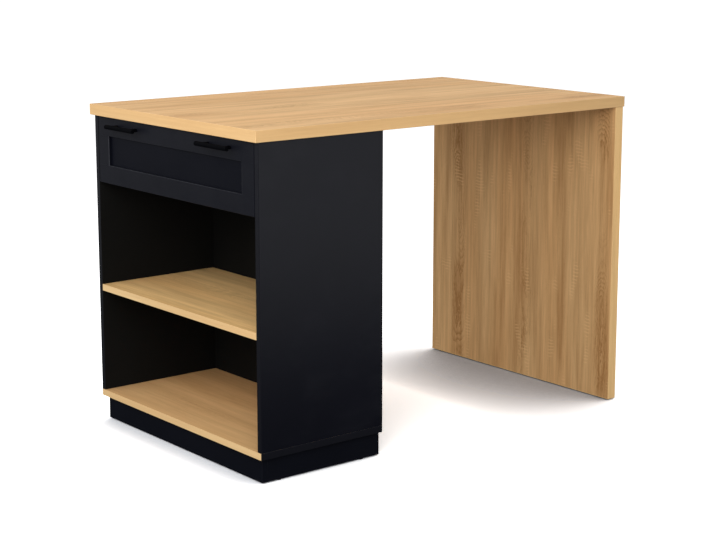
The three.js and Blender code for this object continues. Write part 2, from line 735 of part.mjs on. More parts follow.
// ---------------------------------------------------------------------------------------------------------
// Drawer: box
// ---------------------------------------------------------------------------------------------------------

/** Section of a box wall, standing at y = 0 with its groove facing +Y. */
function wallSection() {
  const grooveLow = BOX_BOTTOM_RISE - SEAT_GAP;
  const grooveHigh = BOX_BOTTOM_RISE + BOX_BOTTOM_THICKNESS + SEAT_GAP;
  const height = boxTop - BOX_RISE;
  return new THREE.Shape([
    new THREE.Vector2(0, 0),
    new THREE.Vector2(BOX_WALL, 0),
    new THREE.Vector2(BOX_WALL, grooveLow),
    new THREE.Vector2(BOX_WALL - BOX_GROOVE_DEPTH, grooveLow),
    new THREE.Vector2(BOX_WALL - BOX_GROOVE_DEPTH, grooveHigh),
    new THREE.Vector2(BOX_WALL, grooveHigh),
    new THREE.Vector2(BOX_WALL, height),
    new THREE.Vector2(0, height),
  ]);
}

function addBox(drawer) {
  const sideLength = boxBack - boxFront;
  const endLength = 2 * (boxHalfWidth - BOX_WALL - SEAT_GAP);
  for (const { side, sign } of SIDES) {
    const wall = extrudeAlongX(wallSection(), sideLength);
    if (sign > 0) {
      wall.rotateZ(Math.PI).translate(sideLength, 0, 0);
    }
    addPiece(drawer, `box_side_${side}`, wall, 'blackBoard', boxFront, sign * boxHalfWidth, BOX_RISE);
  }
  const endWall = (turn) => extrudeAlongX(wallSection(), endLength)
    .translate(-endLength / 2, 0, 0)
    .rotateZ(turn);
  addPiece(drawer, 'box_front', endWall(-Math.PI / 2), 'blackBoard', boxFront, 0, BOX_RISE);
  addPiece(drawer, 'box_back', endWall(Math.PI / 2), 'blackBoard', boxBack, 0, BOX_RISE);

  const tuck = BOX_WALL - BOX_GROOVE_DEPTH + GROOVE_PLAY;
  const bottomLow = BOX_RISE + BOX_BOTTOM_RISE;
  addBoard(drawer, 'box_bottom', 'blackBoard',
    point(boxFront + tuck, tuck - boxHalfWidth, bottomLow),
    point(boxBack - tuck, boxHalfWidth - tuck, bottomLow + BOX_BOTTOM_THICKNESS),
    { arris: BOARD_ARRIS / 2 });
}

// ---------------------------------------------------------------------------------------------------------
// Ball runners, in a frame of their own: x from the runner's front end, y from the side panel's face
// towards the drawer, z from the runner's middle
// ---------------------------------------------------------------------------------------------------------

const at = (y, z) => new THREE.Vector2(y, z);

const flangeOffset = raceRadius - RACE_DEPTH;
const outerBall = at(outerBallOffset, RUNNER_HEIGHT / 2 - raceRadius - RUNNER_SHEET / 2);
const innerBall = at(innerBallOffset, outerBall.y - 2 * flangeOffset);
const cabinetWeb = RUNNER_SHEET / 2;
const drawerWeb = runnerThickness - RUNNER_SHEET / 2;
const outerRetainerWeb = RUNNER_SHEET + SEAT_GAP + RETAINER_SHEET / 2;
const innerRetainerWeb = middleWeb + RUNNER_SHEET / 2 + SEAT_GAP + RETAINER_SHEET / 2;

/** A race over the ball, as the flange outside the balls has it. */
function raceOver(ball) {
  return arcPoints(ball, raceRadius, Math.PI / 2 + raceHalfAngle, Math.PI / 2 - raceHalfAngle);
}

/** A race under the ball, as the flange inside the balls has it. */
function raceUnder(ball) {
  return arcPoints(ball, raceRadius, -Math.PI / 2 - raceHalfAngle, raceHalfAngle - Math.PI / 2);
}

/** The middle line of a whole channel, from its upper half. */
function mirrored(upperHalf) {
  const lowerHalf = upperHalf.map((spot) => at(spot.x, -spot.y)).reverse();
  return [...upperHalf, ...lowerHalf];
}

/** Middle line of the member on the side panel: a channel with a race in each flange. */
function cabinetMemberLine() {
  const flange = outerBall.y + flangeOffset;
  const race = raceOver(outerBall).reverse();
  return mirrored([at(race[0].x + RACE_LIP, flange), ...race, at(cabinetWeb, flange)]);
}

/** Middle line of the middle member, with an outer race and an inner race in each flange. */
function middleMemberLine() {
  const flange = outerBall.y - flangeOffset;
  const inner = raceOver(innerBall).reverse();
  const outer = raceUnder(outerBall).reverse();
  return mirrored([at(inner[0].x + RACE_LIP, flange), ...inner, ...outer, at(middleWeb, flange)]);
}

/** Middle line of the member on the drawer, opening towards the side panel. */
function drawerMemberLine() {
  const flange = innerBall.y - flangeOffset;
  const race = raceUnder(innerBall);
  return mirrored([at(race[0].x - RACE_LIP, flange), ...race, at(drawerWeb, flange)]);
}

/** A member rolled to its middle line, with a row of slots in its web where it is screwed on. */
function memberGeometry(line, slotOffset) {
  const member = extrudeAlongX(sheetOutline(line, RUNNER_SHEET), runnerLength);
  if (slotOffset === null) {
    return member;
  }
  const slots = Array.from({ length: RUNNER_SLOT_COUNT }, (_, index) => {
    const x = runnerLength / 2 + (index - (RUNNER_SLOT_COUNT - 1) / 2) * RUNNER_SLOT_PITCH;
    return slotCutter(x, slotOffset);
  });
  return cut(member, slots);
}

/** A slot with round ends, through the web. */
function slotCutter(x, y) {
  const radius = RUNNER_SLOT_WIDTH / 2;
  const straight = RUNNER_SLOT_LENGTH / 2 - radius;
  const outline = new THREE.Shape();
  outline.absarc(straight, 0, radius, -Math.PI / 2, Math.PI / 2);
  outline.absarc(-straight, 0, radius, Math.PI / 2, 1.5 * Math.PI);
  return new THREE.ExtrudeGeometry(outline, {
    depth: 2 * RUNNER_SHEET,
    bevelEnabled: false,
    curveSegments: ARC_STEPS,
  }).applyMatrix4(ALONG_Y).translate(x, y + RUNNER_SHEET, 0);
}

/** A folded strip that holds two rows of balls at their spacing. */
function retainerGeometry(ball, web) {
  const length = BALL_PITCH * (BALLS_PER_ROW - 1) + 2 * RETAINER_END;
  const line = mirrored([at(ball.x + BALL_RADIUS + RETAINER_LIP, ball.y), at(web, ball.y)]);
  const strip = extrudeAlongX(sheetOutline(line, RETAINER_SHEET), length);
  const balls = [];
  for (const sign of [-1, 1]) {
    for (let index = 0; index < BALLS_PER_ROW; index += 1) {
      const x = RETAINER_END + BALL_PITCH * index;
      const sphere = new THREE.SphereGeometry(BALL_RADIUS, BALL_STEPS, BALL_RINGS);
      balls.push(sphere.translate(x, ball.x, sign * ball.y));
    }
  }
  return join([strip, ...balls]);
}

// Where the retainers stand with the drawer shut, so that both stay between their members to the end
const retainerStart = DRAWER_TRAVEL / 4 + RETAINER_END;

function addRunners(group) {
  for (const { side, sign } of SIDES) {
    const runner = new THREE.Group();
    runner.position.set(
      cabinetFront + FRONT_THICKNESS + RUNNER_FRONT_GAP,
      sign * (insideHalfWidth - SEAT_GAP),
      drawerLevel + BOX_RISE + RUNNER_RISE,
    );
    runner.rotation.x = sign > 0 ? Math.PI : 0;
    const members = {
      cabinet: memberGeometry(cabinetMemberLine(), cabinetWeb),
      middle: memberGeometry(middleMemberLine(), null),
      drawer: memberGeometry(drawerMemberLine(), drawerWeb),
    };
    const retainers = {
      outer: retainerGeometry(outerBall, outerRetainerWeb),
      inner: retainerGeometry(innerBall, innerRetainerWeb),
    };
    for (const [place, geometry] of Object.entries(members)) {
      addPiece(runner, `runner_${place}_${side}`, geometry, 'zincSteel');
    }
    for (const [place, geometry] of Object.entries(retainers)) {
      addPiece(runner, `ball_retainer_${place}_${side}`, geometry, 'zincSteel', retainerStart);
    }
    group.add(runner);
  }
}

// ---------------------------------------------------------------------------------------------------------
// The whole island, standing over the middle of its own length, handles included
// ---------------------------------------------------------------------------------------------------------

const island = new THREE.Group();
island.position.x = (HANDLE_PROJECTION - FRONT_OVERHANG) / 2;

addCarcass(island);
addShelfPins(island);
addPlinth(island);
addStretchers(island);
addWorktop(island);
addLegPanel(island);
addCamLocks(island);
addRunners(island);

const drawer = new THREE.Group();
drawer.position.set(cabinetFront, 0, drawerLevel);
addFrontFrame(drawer);
addHandles(drawer);
addBox(drawer);
island.add(drawer);

export default island;
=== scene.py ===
"""Looks of a kitchen island: an oak worktop on a black cabinet with a drawer and open shelves, and a leg panel.

Everything is in metres, +Z up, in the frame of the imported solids. X runs along the worktop from the drawer end
(-X) to the leg panel (+X), and Y runs from the near side to the far side. Places and sizes come from the solids'
own boxes, so each dressed piece lies where its solid lies and moves with the solid's body.
"""

import json
import logging
import math
from dataclasses import dataclass, field
from enum import Enum
from typing import Callable, Iterable, Optional, Sequence, Union

import bmesh
import bpy
from mathutils import Matrix, Vector

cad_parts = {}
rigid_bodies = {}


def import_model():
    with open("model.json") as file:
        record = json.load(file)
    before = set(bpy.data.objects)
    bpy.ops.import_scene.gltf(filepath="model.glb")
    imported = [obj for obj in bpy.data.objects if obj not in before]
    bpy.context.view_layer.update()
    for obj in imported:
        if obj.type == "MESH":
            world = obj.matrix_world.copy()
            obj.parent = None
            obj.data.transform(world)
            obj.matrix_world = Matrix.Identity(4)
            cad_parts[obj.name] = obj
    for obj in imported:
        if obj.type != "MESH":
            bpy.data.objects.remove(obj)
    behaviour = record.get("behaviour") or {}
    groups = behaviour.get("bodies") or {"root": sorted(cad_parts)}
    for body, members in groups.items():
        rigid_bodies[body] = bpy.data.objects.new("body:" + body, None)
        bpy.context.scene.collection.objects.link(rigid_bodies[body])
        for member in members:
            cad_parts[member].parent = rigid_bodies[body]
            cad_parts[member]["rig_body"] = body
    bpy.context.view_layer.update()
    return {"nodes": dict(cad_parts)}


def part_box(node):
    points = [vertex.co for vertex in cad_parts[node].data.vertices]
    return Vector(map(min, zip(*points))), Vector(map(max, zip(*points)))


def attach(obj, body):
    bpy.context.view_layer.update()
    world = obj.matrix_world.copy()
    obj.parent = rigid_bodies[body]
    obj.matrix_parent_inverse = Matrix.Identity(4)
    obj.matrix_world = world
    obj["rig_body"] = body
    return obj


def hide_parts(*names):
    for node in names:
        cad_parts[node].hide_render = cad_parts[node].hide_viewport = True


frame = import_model()

LOG = logging.getLogger("kitchen_island")

MM = 0.001
QUARTER_TURN = math.pi / 2
BOARD_FOLD, ROUND_FOLD = 50.0, 40.0  # folds over this many degrees stay sharp, on boards and on turned pieces
FACING = 0.5  # a face looks along an axis where its normal's part on it is over this

# The values that a board's mesh carries for its materials
GRAIN = "grain"
ARRIS = "arris"

Form, FormEdge = bmesh.types.BMesh, bmesh.types.BMEdge
Material, Mesh, Polygon = bpy.types.Material, bpy.types.Mesh, bpy.types.MeshPolygon
Node, Socket, Tree = bpy.types.Node, bpy.types.NodeSocket, bpy.types.NodeTree
Thing = bpy.types.Object

Colour = tuple[float, float, float]
Point = tuple[float, float, float]
Outline = list[tuple[float, float]]
Value = Union[float, Sequence[float], "Term"]
Key = Union[str, int]


class Axis(Enum):
    """A direction of the island's frame."""

    X = 0
    Y = 1
    Z = 2

    @property
    def unit(self) -> Vector:
        """The axis as a vector of length one."""
        return Vector([1.0 if index == self.value else 0.0 for index in range(3)])


class Side(Enum):
    """One of the island's two long sides, with its sign along Y."""

    NEAR = -1
    FAR = 1

    @property
    def word(self) -> str:
        """The side's word in the names of the solids."""
        return self.name.lower()


class Edge(Enum):
    """An end or edge of a board, as its axis and the sign of its outward direction."""

    FRONT = (0, -1)
    REAR = (0, 1)
    NEAR = (1, -1)
    FAR = (1, 1)
    FOOT = (2, -1)
    HEAD = (2, 1)


# ---- Node trees ----


class Term:
    """A node's output, so that sums of it can be written as sums."""

    def __init__(self, graph: "Graph", socket: Socket) -> None:
        """Keeps the output with its graph."""
        self.graph, self.socket = graph, socket

    def __add__(self, other: Value) -> "Term":
        """The sum of two values."""
        return self.graph.math("ADD", self, other)

    def __sub__(self, other: Value) -> "Term":
        """The difference of two values."""
        return self.graph.math("SUBTRACT", self, other)

    def __mul__(self, other: Value) -> "Term":
        """The product of two values."""
        return self.graph.math("MULTIPLY", self, other)

    def __truediv__(self, other: Value) -> "Term":
        """One value divided by another."""
        return self.graph.math("DIVIDE", self, other)


class Graph:
    """A node tree that is filled node by node."""

    def __init__(self, tree: Tree) -> None:
        """Takes an empty tree to fill."""
        self.tree = tree

    def add(self, kind: str, inputs: dict[Key, Value], **settings: object) -> Node:
        """Adds one node.

        Args:
            kind: the node's type name.
            inputs: a value or another node's output for each named or numbered input.
            settings: the node's own properties.

        Returns:
            The new node.
        """
        node = self.tree.nodes.new(kind)
        for name, value in settings.items():
            setattr(node, name, value)
        for key, value in inputs.items():
            if isinstance(value, Term):
                self.tree.links.new(value.socket, node.inputs[key])
            else:
                node.inputs[key].default_value = value
        return node

    def out(self, node: Node, key: Key = 0) -> Term:
        """One of a node's outputs."""
        return Term(self, node.outputs[key])

    def value(self, kind: str, inputs: dict[Key, Value], key: Key = 0, **settings: object) -> Term:
        """Adds one node, as add does, and gives its output with this name or number."""
        return self.out(self.add(kind, inputs, **settings), key)

    def math(self, operation: str, first: Value, second: Value = 0.0, clamp: bool = False) -> Term:
        """Adds one sum, whose result stays between 0 and 1 if clamp is set."""
        return self.value("ShaderNodeMath", {0: first, 1: second}, operation=operation, use_clamp=clamp)

    def scaled(self, vector: Value, factors: Sequence[float]) -> Term:
        """Stretches a vector by its factors along x, y and z."""
        return self.value("ShaderNodeVectorMath", {0: vector, 1: tuple(factors)}, operation="MULTIPLY")

    def noise(self, vector: Value, scale: Value, detail: float = 2.0, roughness: float = 0.5) -> Term:
        """Adds cloudy noise of about 0.5, with scale cells per unit and detail finer layers."""
        inputs = {"Vector": vector, "Scale": scale, "Detail": detail, "Roughness": roughness}
        return self.value("ShaderNodeTexNoise", inputs, noise_dimensions="3D")

    def ranged(self, value: Value, low: float, high: float, start: float = 0.0, end: float = 1.0) -> Term:
        """Maps a value smoothly, from start at low and below it to end at high and over it."""
        inputs = {"Value": value, "From Min": low, "From Max": high, "To Min": start, "To Max": end}
        return self.value("ShaderNodeMapRange", inputs, interpolation_type="SMOOTHSTEP")

    def mixed(self, factor: Value, first: Value, second: Value, blend: str = "MIX") -> Term:
        """Mixes two colours, where factor is the share of the second."""
        inputs = {0: factor, 6: rgba(first), 7: rgba(second)}
        return self.value("ShaderNodeMix", inputs, 2, data_type="RGBA", blend_type=blend, clamp_factor=True)


def rgba(colour: Value) -> Value:
    """Adds alpha to a plain colour, and leaves a node's output alone."""
    return colour if isinstance(colour, Term) else (*tuple(colour)[:3], 1.0)


def cleared_graph(owner: Union[Material, bpy.types.World]) -> Graph:
    """Starts a new graph in a material or a world.

    Args:
        owner: the material or the world.

    Returns:
        Its graph, with no node in it.
    """
    owner.use_nodes = True
    owner.node_tree.nodes.clear()
    return Graph(owner.node_tree)


FLOAT, COLOUR, VECTOR = "NodeSocketFloat", "NodeSocketColor", "NodeSocketVector"
SURFACE = ("Color", "Roughness", "Height")


def new_group(name: str, inputs: dict[str, Value], outputs: Sequence[str]) -> tuple[Graph, dict[str, Term]]:
    """Starts a shader node group that is read at a Vector.

    Args:
        name: the group's name.
        inputs: a default for each other input, which is four numbers for a colour.
        outputs: the outputs' names.

    Returns:
        The graph inside the group, and its inputs by name.
    """
    tree = bpy.data.node_groups.new(name, "ShaderNodeTree")
    tree.interface.new_socket("Vector", in_out="INPUT", socket_type=VECTOR)
    for label, default in inputs.items():
        kind = FLOAT if isinstance(default, float) else COLOUR
        tree.interface.new_socket(label, in_out="INPUT", socket_type=kind).default_value = default
    for label in outputs:
        tree.interface.new_socket(label, in_out="OUTPUT", socket_type=COLOUR if label == "Color" else FLOAT)
    graph = Graph(tree)
    source = graph.add("NodeGroupInput", {})
    return graph, {label: graph.out(source, label) for label in ("Vector", *inputs)}


class EffectGroups:
    """The effects that several finishes share, each a node group that is built once."""

    def __init__(self) -> None:
        """Builds every group."""
        self.oak = self._oak()
        self.board = self._board()
        self.arris = self._arris()
        self.plating = self._plating()

    @staticmethod
    def _oak() -> Tree:
        """Sawn oak decor: growth rings, streaks, pores and saw marks along the x of its vector.

        Returns:
            The group, with Color, Roughness and Height.
        """
        graph, given = new_group("Sawn oak", {
            "Light": (0.75, 0.5, 0.27, 1.0), "Dark": (0.5, 0.3, 0.14, 1.0), "Figure": 0.5, "Streaks": 0.5,
            "Pores": 0.5, "Saw Marks": 0.3, "Ring Width": 0.008, "Figure Spacing": 0.33, "Gloss": 0.55,
        }, SURFACE)
        split = graph.add("ShaderNodeSeparateXYZ", {0: given["Vector"]})
        along, across = graph.out(split, 0), graph.out(split, 1)

        def cloud(per_length: float, per_width: float, detail: float = 1.0) -> Term:
            """Noise with this many cells per metre along and across the grain."""
            return graph.noise(graph.scaled(given["Vector"], (per_length, per_width, 1.0)), 1.0, detail)

        # Growth rings: arcs where the saw ran near the heart of the log, straight lines away from it
        swayed = across + (cloud(1.1, 2.5, 2.0) - 0.5) * 0.07
        from_heart = graph.math("PINGPONG", swayed, given["Figure Spacing"])
        depth = (cloud(3.4, 0.8) - 0.42) * 0.32
        radius = graph.math("SQRT", from_heart * from_heart + depth * depth)
        ripple, feather = cloud(5.0, 26.0, 3.0), cloud(70.0, 260.0)
        ring = graph.math("FRACT", radius / given["Ring Width"] + (ripple * 3.0 + feather * 1.2))
        late_wood = graph.math("POWER", ring, 2.2) * graph.ranged(ring, 0.93, 1.0, 1.0, 0.0)
        near_heart = graph.ranged(from_heart, 0.008, 0.04, 1.0, 0.1)
        patches = graph.ranged(cloud(3.0, 5.0), 0.42, 0.6, 0.1, 1.0)
        figure = (late_wood * 0.8 + 0.25) * (near_heart * patches) * given["Figure"]

        # Streaks of four widths
        middle, fine = cloud(2.6, 42.0, 2.0), cloud(15.0, 420.0, 2.0)
        streaks = graph.ranged(cloud(1.0, 17.0), 0.3, 0.7) * 0.26
        for layer, share in ((middle, 0.34), (cloud(4.5, 115.0), 0.22), (fine, 0.2)):
            streaks = streaks + graph.ranged(layer, 0.28, 0.74) * share

        # Open pores, as short dark dashes
        pores = graph.ranged(cloud(55.0, 1300.0), 0.6, 0.72) * graph.ranged(cloud(3.0, 40.0), 0.42, 0.62)

        # Saw marks, across the grain, in patches
        strokes = graph.ranged(graph.math("SINE", along * 610.0 + cloud(12.0, 30.0) * 9.0), 0.0, 0.9)
        sawn = strokes * graph.ranged(cloud(8.0, 21.0), 0.6, 0.7) * given["Saw Marks"]

        shade = graph.math("ADD", streaks * given["Streaks"] + figure, pores * given["Pores"] * 0.5, clamp=True)
        toned = graph.mixed(shade, given["Light"], given["Dark"])
        warmed = graph.mixed(graph.ranged(cloud(0.9, 7.0), 0.35, 0.7) * 0.2, toned, (0.97, 0.72, 0.47), "MULTIPLY")
        graph.add("NodeGroupOutput", {
            "Color": graph.mixed(sawn * 0.8, warmed, given["Light"]),
            "Roughness": given["Gloss"] + ((middle - 0.5) * 0.1 + pores * 0.14),
            "Height": fine * 0.35 - (pores * 0.7 + sawn * 0.4),
        })
        return graph.tree

    @staticmethod
    def _board() -> Tree:
        """A faced or painted board: faint clouds, a fine orange peel and handling marks in the gloss.

        Returns:
            The group, with Color, Roughness and Height.
        """
        graph, given = new_group("Faced board", {
            "Color": (0.02, 0.02, 0.02, 1.0), "Clouds": 0.3, "Gloss": 0.5, "Marks": 0.1, "Peel": 900.0,
        }, SURFACE)
        vector = given["Vector"]
        clouds = graph.ranged(graph.noise(vector, 4.5, 3.0, 0.6), 0.3, 0.7)
        specks = graph.ranged(graph.noise(vector, 700.0, 2.0, 0.6), 0.35, 0.7)
        amount = (clouds * 0.7 + specks * 0.3) * given["Clouds"]
        smudges = graph.ranged(graph.noise(graph.scaled(vector, (1.0, 1.0, 1.7)), 9.0, 4.0, 0.65), 0.45, 0.75)
        graph.add("NodeGroupOutput", {
            "Color": graph.mixed(amount, given["Color"], (2.0, 2.0, 2.05), "MULTIPLY"),
            "Roughness": given["Gloss"] + (smudges - 0.3) * given["Marks"],
            "Height": graph.noise(vector, given["Peel"], 2.0, 0.6),
        })
        return graph.tree

    @staticmethod
    def _arris() -> Tree:
        """A painted highlight along eased arrises, a lighter colour where their edges catch light, from the mesh's own
        arris value, broken up by noise.

        Returns:
            The group, with Mask.
        """
        graph, given = new_group("Rubbed arris", {"Amount": 0.5}, ("Mask",))
        arris = graph.value("ShaderNodeAttribute", {}, "Fac", attribute_name=ARRIS)
        broken = graph.ranged(graph.noise(given["Vector"], 60.0, 3.0, 0.6), 0.3, 0.6, 0.55, 1.0)
        graph.add("NodeGroupOutput", {"Mask": graph.math("MULTIPLY", arris * broken, given["Amount"], clamp=True)})
        return graph.tree

    @staticmethod
    def _plating() -> Tree:
        """Bright plated steel: cloudy lustre, and rolling lines along one way of the sheet.

        Returns:
            The group, with Color, Roughness and Height.
        """
        graph, given = new_group("Plated steel", {"Color": (0.6, 0.6, 0.62, 1.0), "Gloss": 0.3, "Lines": 0.5}, SURFACE)
        clouds = graph.ranged(graph.noise(given["Vector"], 130.0, 3.0, 0.6), 0.3, 0.7)
        lines = graph.noise(graph.scaled(given["Vector"], (20.0, 1500.0, 1500.0)), 1.0) * given["Lines"]
        graph.add("NodeGroupOutput", {
            "Color": graph.mixed(clouds * 0.35, given["Color"], (0.8, 0.78, 0.74), "MULTIPLY"),
            "Roughness": given["Gloss"] + (clouds * 0.1 + lines * 0.2),
            "Height": lines,
        })
        return graph.tree


# ---- Finishes ----


@dataclass(frozen=True)
class Finish:
    """What the finishes share: an effect group on a Principled shader, with a painted highlight on its arrises if it
    has one.
    """

    name: str
    gloss: float = 0.5  # as a roughness, so that less of it shines more
    bump: float = 0.5  # how much of the effect's height shows
    relief: float = 0.08 * MM  # and how deep it is

    def compose(self, effect: Tree, values: dict[str, Value], plain: dict[str, float],
                arris_highlighting: Optional[tuple[Tree, float, Colour]] = None, on_grain: bool = False) -> Material:
        """Builds the material.

        Args:
            effect: the group, with Color, Roughness and Height.
            values: the group's values, apart from Gloss.
            plain: the shader's own values.
            arris_highlighting: the group of the painted arris highlight, its amount and its lighter colour.
            on_grain: whether the effect follows the mesh's grain coordinates.

        Returns:
            The material.
        """
        material = bpy.data.materials.new(self.name)
        graph = cleared_graph(material)
        where = (graph.value("ShaderNodeAttribute", {}, "Vector", attribute_name=GRAIN) if on_grain
                 else graph.value("ShaderNodeTexCoord", {}, "Object"))
        surface = graph.add("ShaderNodeGroup", {"Vector": where, "Gloss": self.gloss, **values}, node_tree=effect)
        colour, roughness, height = (graph.out(surface, label) for label in SURFACE)
        # the arrises get a painted highlight: a lighter colour where their edges catch light
        if arris_highlighting:
            highlight_group, amount, rubbed = arris_highlighting
            highlight_mask = graph.value("ShaderNodeGroup", {"Vector": where, "Amount": amount}, "Mask", node_tree=highlight_group)
            colour = graph.mixed(highlight_mask, colour, rubbed)
        normal = graph.value("ShaderNodeBump", {"Height": height, "Strength": self.bump, "Distance": self.relief})
        shaded = {"Base Color": colour, "Roughness": roughness, "Normal": normal, **plain}
        graph.add("ShaderNodeOutputMaterial", {0: graph.value("ShaderNodeBsdfPrincipled", shaded)})
        return material


@dataclass(frozen=True)
class OakDecor(Finish):
    """Oak decor on a board's face or edge band, which follows the board's own grain coordinates."""

    light: Colour = (0.84, 0.555, 0.3)
    dark: Colour = (0.47, 0.265, 0.11)
    figure: float = 0.55
    streaks: float = 0.5
    pores: float = 0.45
    saw_marks: float = 0.5
    ring_width: float = 0.0095
    figure_spacing: float = 0.157
    gloss: float = 0.58
    specular: float = 0.1
    # a painted highlight on the arrises: how strong it is, and its lighter colour
    rubbed: float = 0.2
    rubbed_colour: Colour = (0.9, 0.68, 0.42)
    bump: float = 0.35
    relief: float = 0.25 * MM

    def material(self, effects: EffectGroups) -> Material:
        """Builds the finish.

        Args:
            effects: the shared node groups.

        Returns:
            The material.
        """
        values = {"Light": rgba(self.light), "Dark": rgba(self.dark), "Figure": self.figure, "Streaks": self.streaks,
                  "Pores": self.pores, "Saw Marks": self.saw_marks, "Ring Width": self.ring_width,
                  "Figure Spacing": self.figure_spacing}
        arris_highlighting = (effects.arris, self.rubbed, self.rubbed_colour)
        return self.compose(effects.oak, values, {"Specular IOR Level": self.specular}, arris_highlighting, on_grain=True)


@dataclass(frozen=True)
class BlackCoat(Finish):
    """A black faced, painted or powder-coated surface."""

    colour: Colour = (0.0098, 0.0103, 0.0145)
    clouds: float = 0.22
    marks: float = 0.08
    peel: float = 900.0
    specular: float = 0.05
    # a painted highlight on the arrises: how strong it is, and its lighter colour
    rubbed: float = 0.25
    rubbed_colour: Colour = (0.04, 0.042, 0.05)

    def material(self, effects: EffectGroups) -> Material:
        """Builds the finish.

        Args:
            effects: the shared node groups.

        Returns:
            The material.
        """
        values = {"Color": rgba(self.colour), "Clouds": self.clouds, "Marks": self.marks, "Peel": self.peel}
        arris_highlighting = (effects.arris, self.rubbed, self.rubbed_colour)
        return self.compose(effects.board, values, {"Specular IOR Level": self.specular}, arris_highlighting)


@dataclass(frozen=True)
class PlatedSteel(Finish):
    """Zinc-plated or polished steel."""

    colour: Colour = (0.56, 0.57, 0.59)
    gloss: float = 0.3
    lines: float = 0.6
    bump: float = 0.2
    relief: float = 0.05 * MM

    def material(self, effects: EffectGroups) -> Material:
        """Builds the finish from the shared node groups."""
        return self.compose(effects.plating, {"Color": rgba(self.colour), "Lines": self.lines}, {"Metallic": 1.0})


class Finishes:
    """Every material of the island, built once."""

    def __init__(self, effects: EffectGroups) -> None:
        """Builds the materials.

        Args:
            effects: the shared node groups.
        """
        def oak(name: str, light: Colour, **values: Union[float, Colour]) -> Material:
            """Oak decor in one light tone."""
            return OakDecor(name, light=light, **values).material(effects)

        def coat(name: str, colour: Colour, **values: Union[float, Colour]) -> Material:
            """A black coat in one tone."""
            return BlackCoat(name, colour=colour, **values).material(effects)

        band = {"figure": 0.0, "streaks": 0.4, "saw_marks": 0.1}
        shelf = {"figure": 0.35, "streaks": 0.7, "saw_marks": 0.4}
        self.worktop = oak("Oak worktop face", (0.87, 0.556, 0.262), dark=(0.42, 0.225, 0.085), figure=0.45,
                           streaks=0.72, saw_marks=0.4)
        self.worktop_band = oak("Oak worktop band", (0.83, 0.555, 0.27), **band)
        self.leg = oak("Oak leg face", (0.9, 0.568, 0.27), dark=(0.42, 0.212, 0.076), figure=0.72, streaks=0.85,
                       saw_marks=0.6, ring_width=0.0065)
        # painted light: the leg panel's bands are made lighter than the worktop's, to make up for the light that falls
        # off towards them
        self.leg_band = oak("Oak leg band", (0.98, 0.66, 0.31), **band)
        # painted shade: the bottom board's face is given a darker tone than the middle shelf's face, though both are
        # one oak
        self.bottom = oak("Oak bottom board face", (0.75, 0.475, 0.222), **shelf)
        self.shelf = oak("Oak shelf face", (0.96, 0.625, 0.27), **shelf)
        self.shelf_band = oak("Oak shelf band", (0.84, 0.59, 0.3), **band)
        self.side = coat("Black side board", (0.0038, 0.0041, 0.0071), gloss=0.3, specular=0.3, rubbed=0.0)
        self.side_band = coat("Black side band", (0.006, 0.0063, 0.009), rubbed=0.0)
        self.inside = coat("Black inner board", (0.0062, 0.0062, 0.0058), gloss=0.6, specular=0.04)
        self.plinth = coat("Black plinth board", (0.0036, 0.0041, 0.0068), specular=0.045)
        self.band = coat("Black edge band", (0.006, 0.0063, 0.009), gloss=0.48, rubbed=0.9)
        # the frame's arrises carry a strong painted highlight, lighter lines where their edges catch light
        self.frame = coat("Black front frame", (0.0042, 0.0046, 0.0076), gloss=0.48, peel=600.0, specular=0.043,
                          rubbed=0.85, rubbed_colour=(0.06, 0.062, 0.072))
        # partly painted shade: the sunk panel is darker than the frame, standing for shade in the recess as well as a
        # darker paint
        self.panel = coat("Black front panel", (0.0027, 0.0031, 0.0058), peel=600.0, specular=0.024)
        self.handle = coat("Black handle coat", (0.0016, 0.0017, 0.0024), gloss=0.7, clouds=0.15, peel=1500.0,
                           relief=0.03 * MM, rubbed=0.0, specular=0.01)
        self.plastic = coat("Dark moulded plastic", (0.02, 0.02, 0.021), gloss=0.55, clouds=0.2, peel=1200.0,
                            specular=0.3)
        self.zinc = PlatedSteel("Zinc-plated steel").material(effects)
        polished = PlatedSteel("Polished ball steel", colour=(0.7, 0.71, 0.73), gloss=0.1, lines=0.0)
        self.ball = polished.material(effects)


# ---- Pieces and meshes ----


def in_scene(name: str, data: bpy.types.ID) -> Thing:
    """Puts a new object in the scene.

    Args:
        name: the object's name.
        data: its mesh, light or camera.

    Returns:
        The object.
    """
    thing = bpy.data.objects.new(name, data)
    bpy.context.scene.collection.objects.link(thing)
    return thing


def add_piece(mesh: Mesh, name: str, body: str, materials: Sequence[Material],
              replaced: Iterable[str] = ()) -> Thing:
    """Puts a finished mesh in the scene as one piece of the island.

    Args:
        mesh: the piece's mesh, in place.
        name: the piece's name.
        body: the body that it moves with.
        materials: its materials, in the order of its faces' indices.
        replaced: the solids that it stands for.

    Returns:
        The piece.
    """
    piece = in_scene(name, mesh)
    for material in materials[len(mesh.materials):]:
        mesh.materials.append(material)
    shading = piece.modifiers.new("even shading", "WEIGHTED_NORMAL")
    shading.keep_sharp = True
    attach(piece, body)
    if replaced:
        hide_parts(*replaced)
    LOG.info("%s moves with %s", name, body)
    return piece


def stand_in(node: str, mesh: Mesh, name: str, slot: str, *materials: Material) -> Thing:
    """Adds the piece that stands for one solid."""
    return add_piece(mesh, name, body_of(node), materials, (node,))


def body_of(node: str) -> str:
    """The body that carries a solid."""
    return frame["nodes"][node]["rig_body"]


def dress(node: str, material: Material) -> None:
    """Gives a solid that stays in view its finish.

    Args:
        node: the solid's name.
        material: its finish.
    """
    for slot in frame["nodes"][node].material_slots:
        slot.material = material
    LOG.info("%s keeps its solid, in %s", node, material.name)


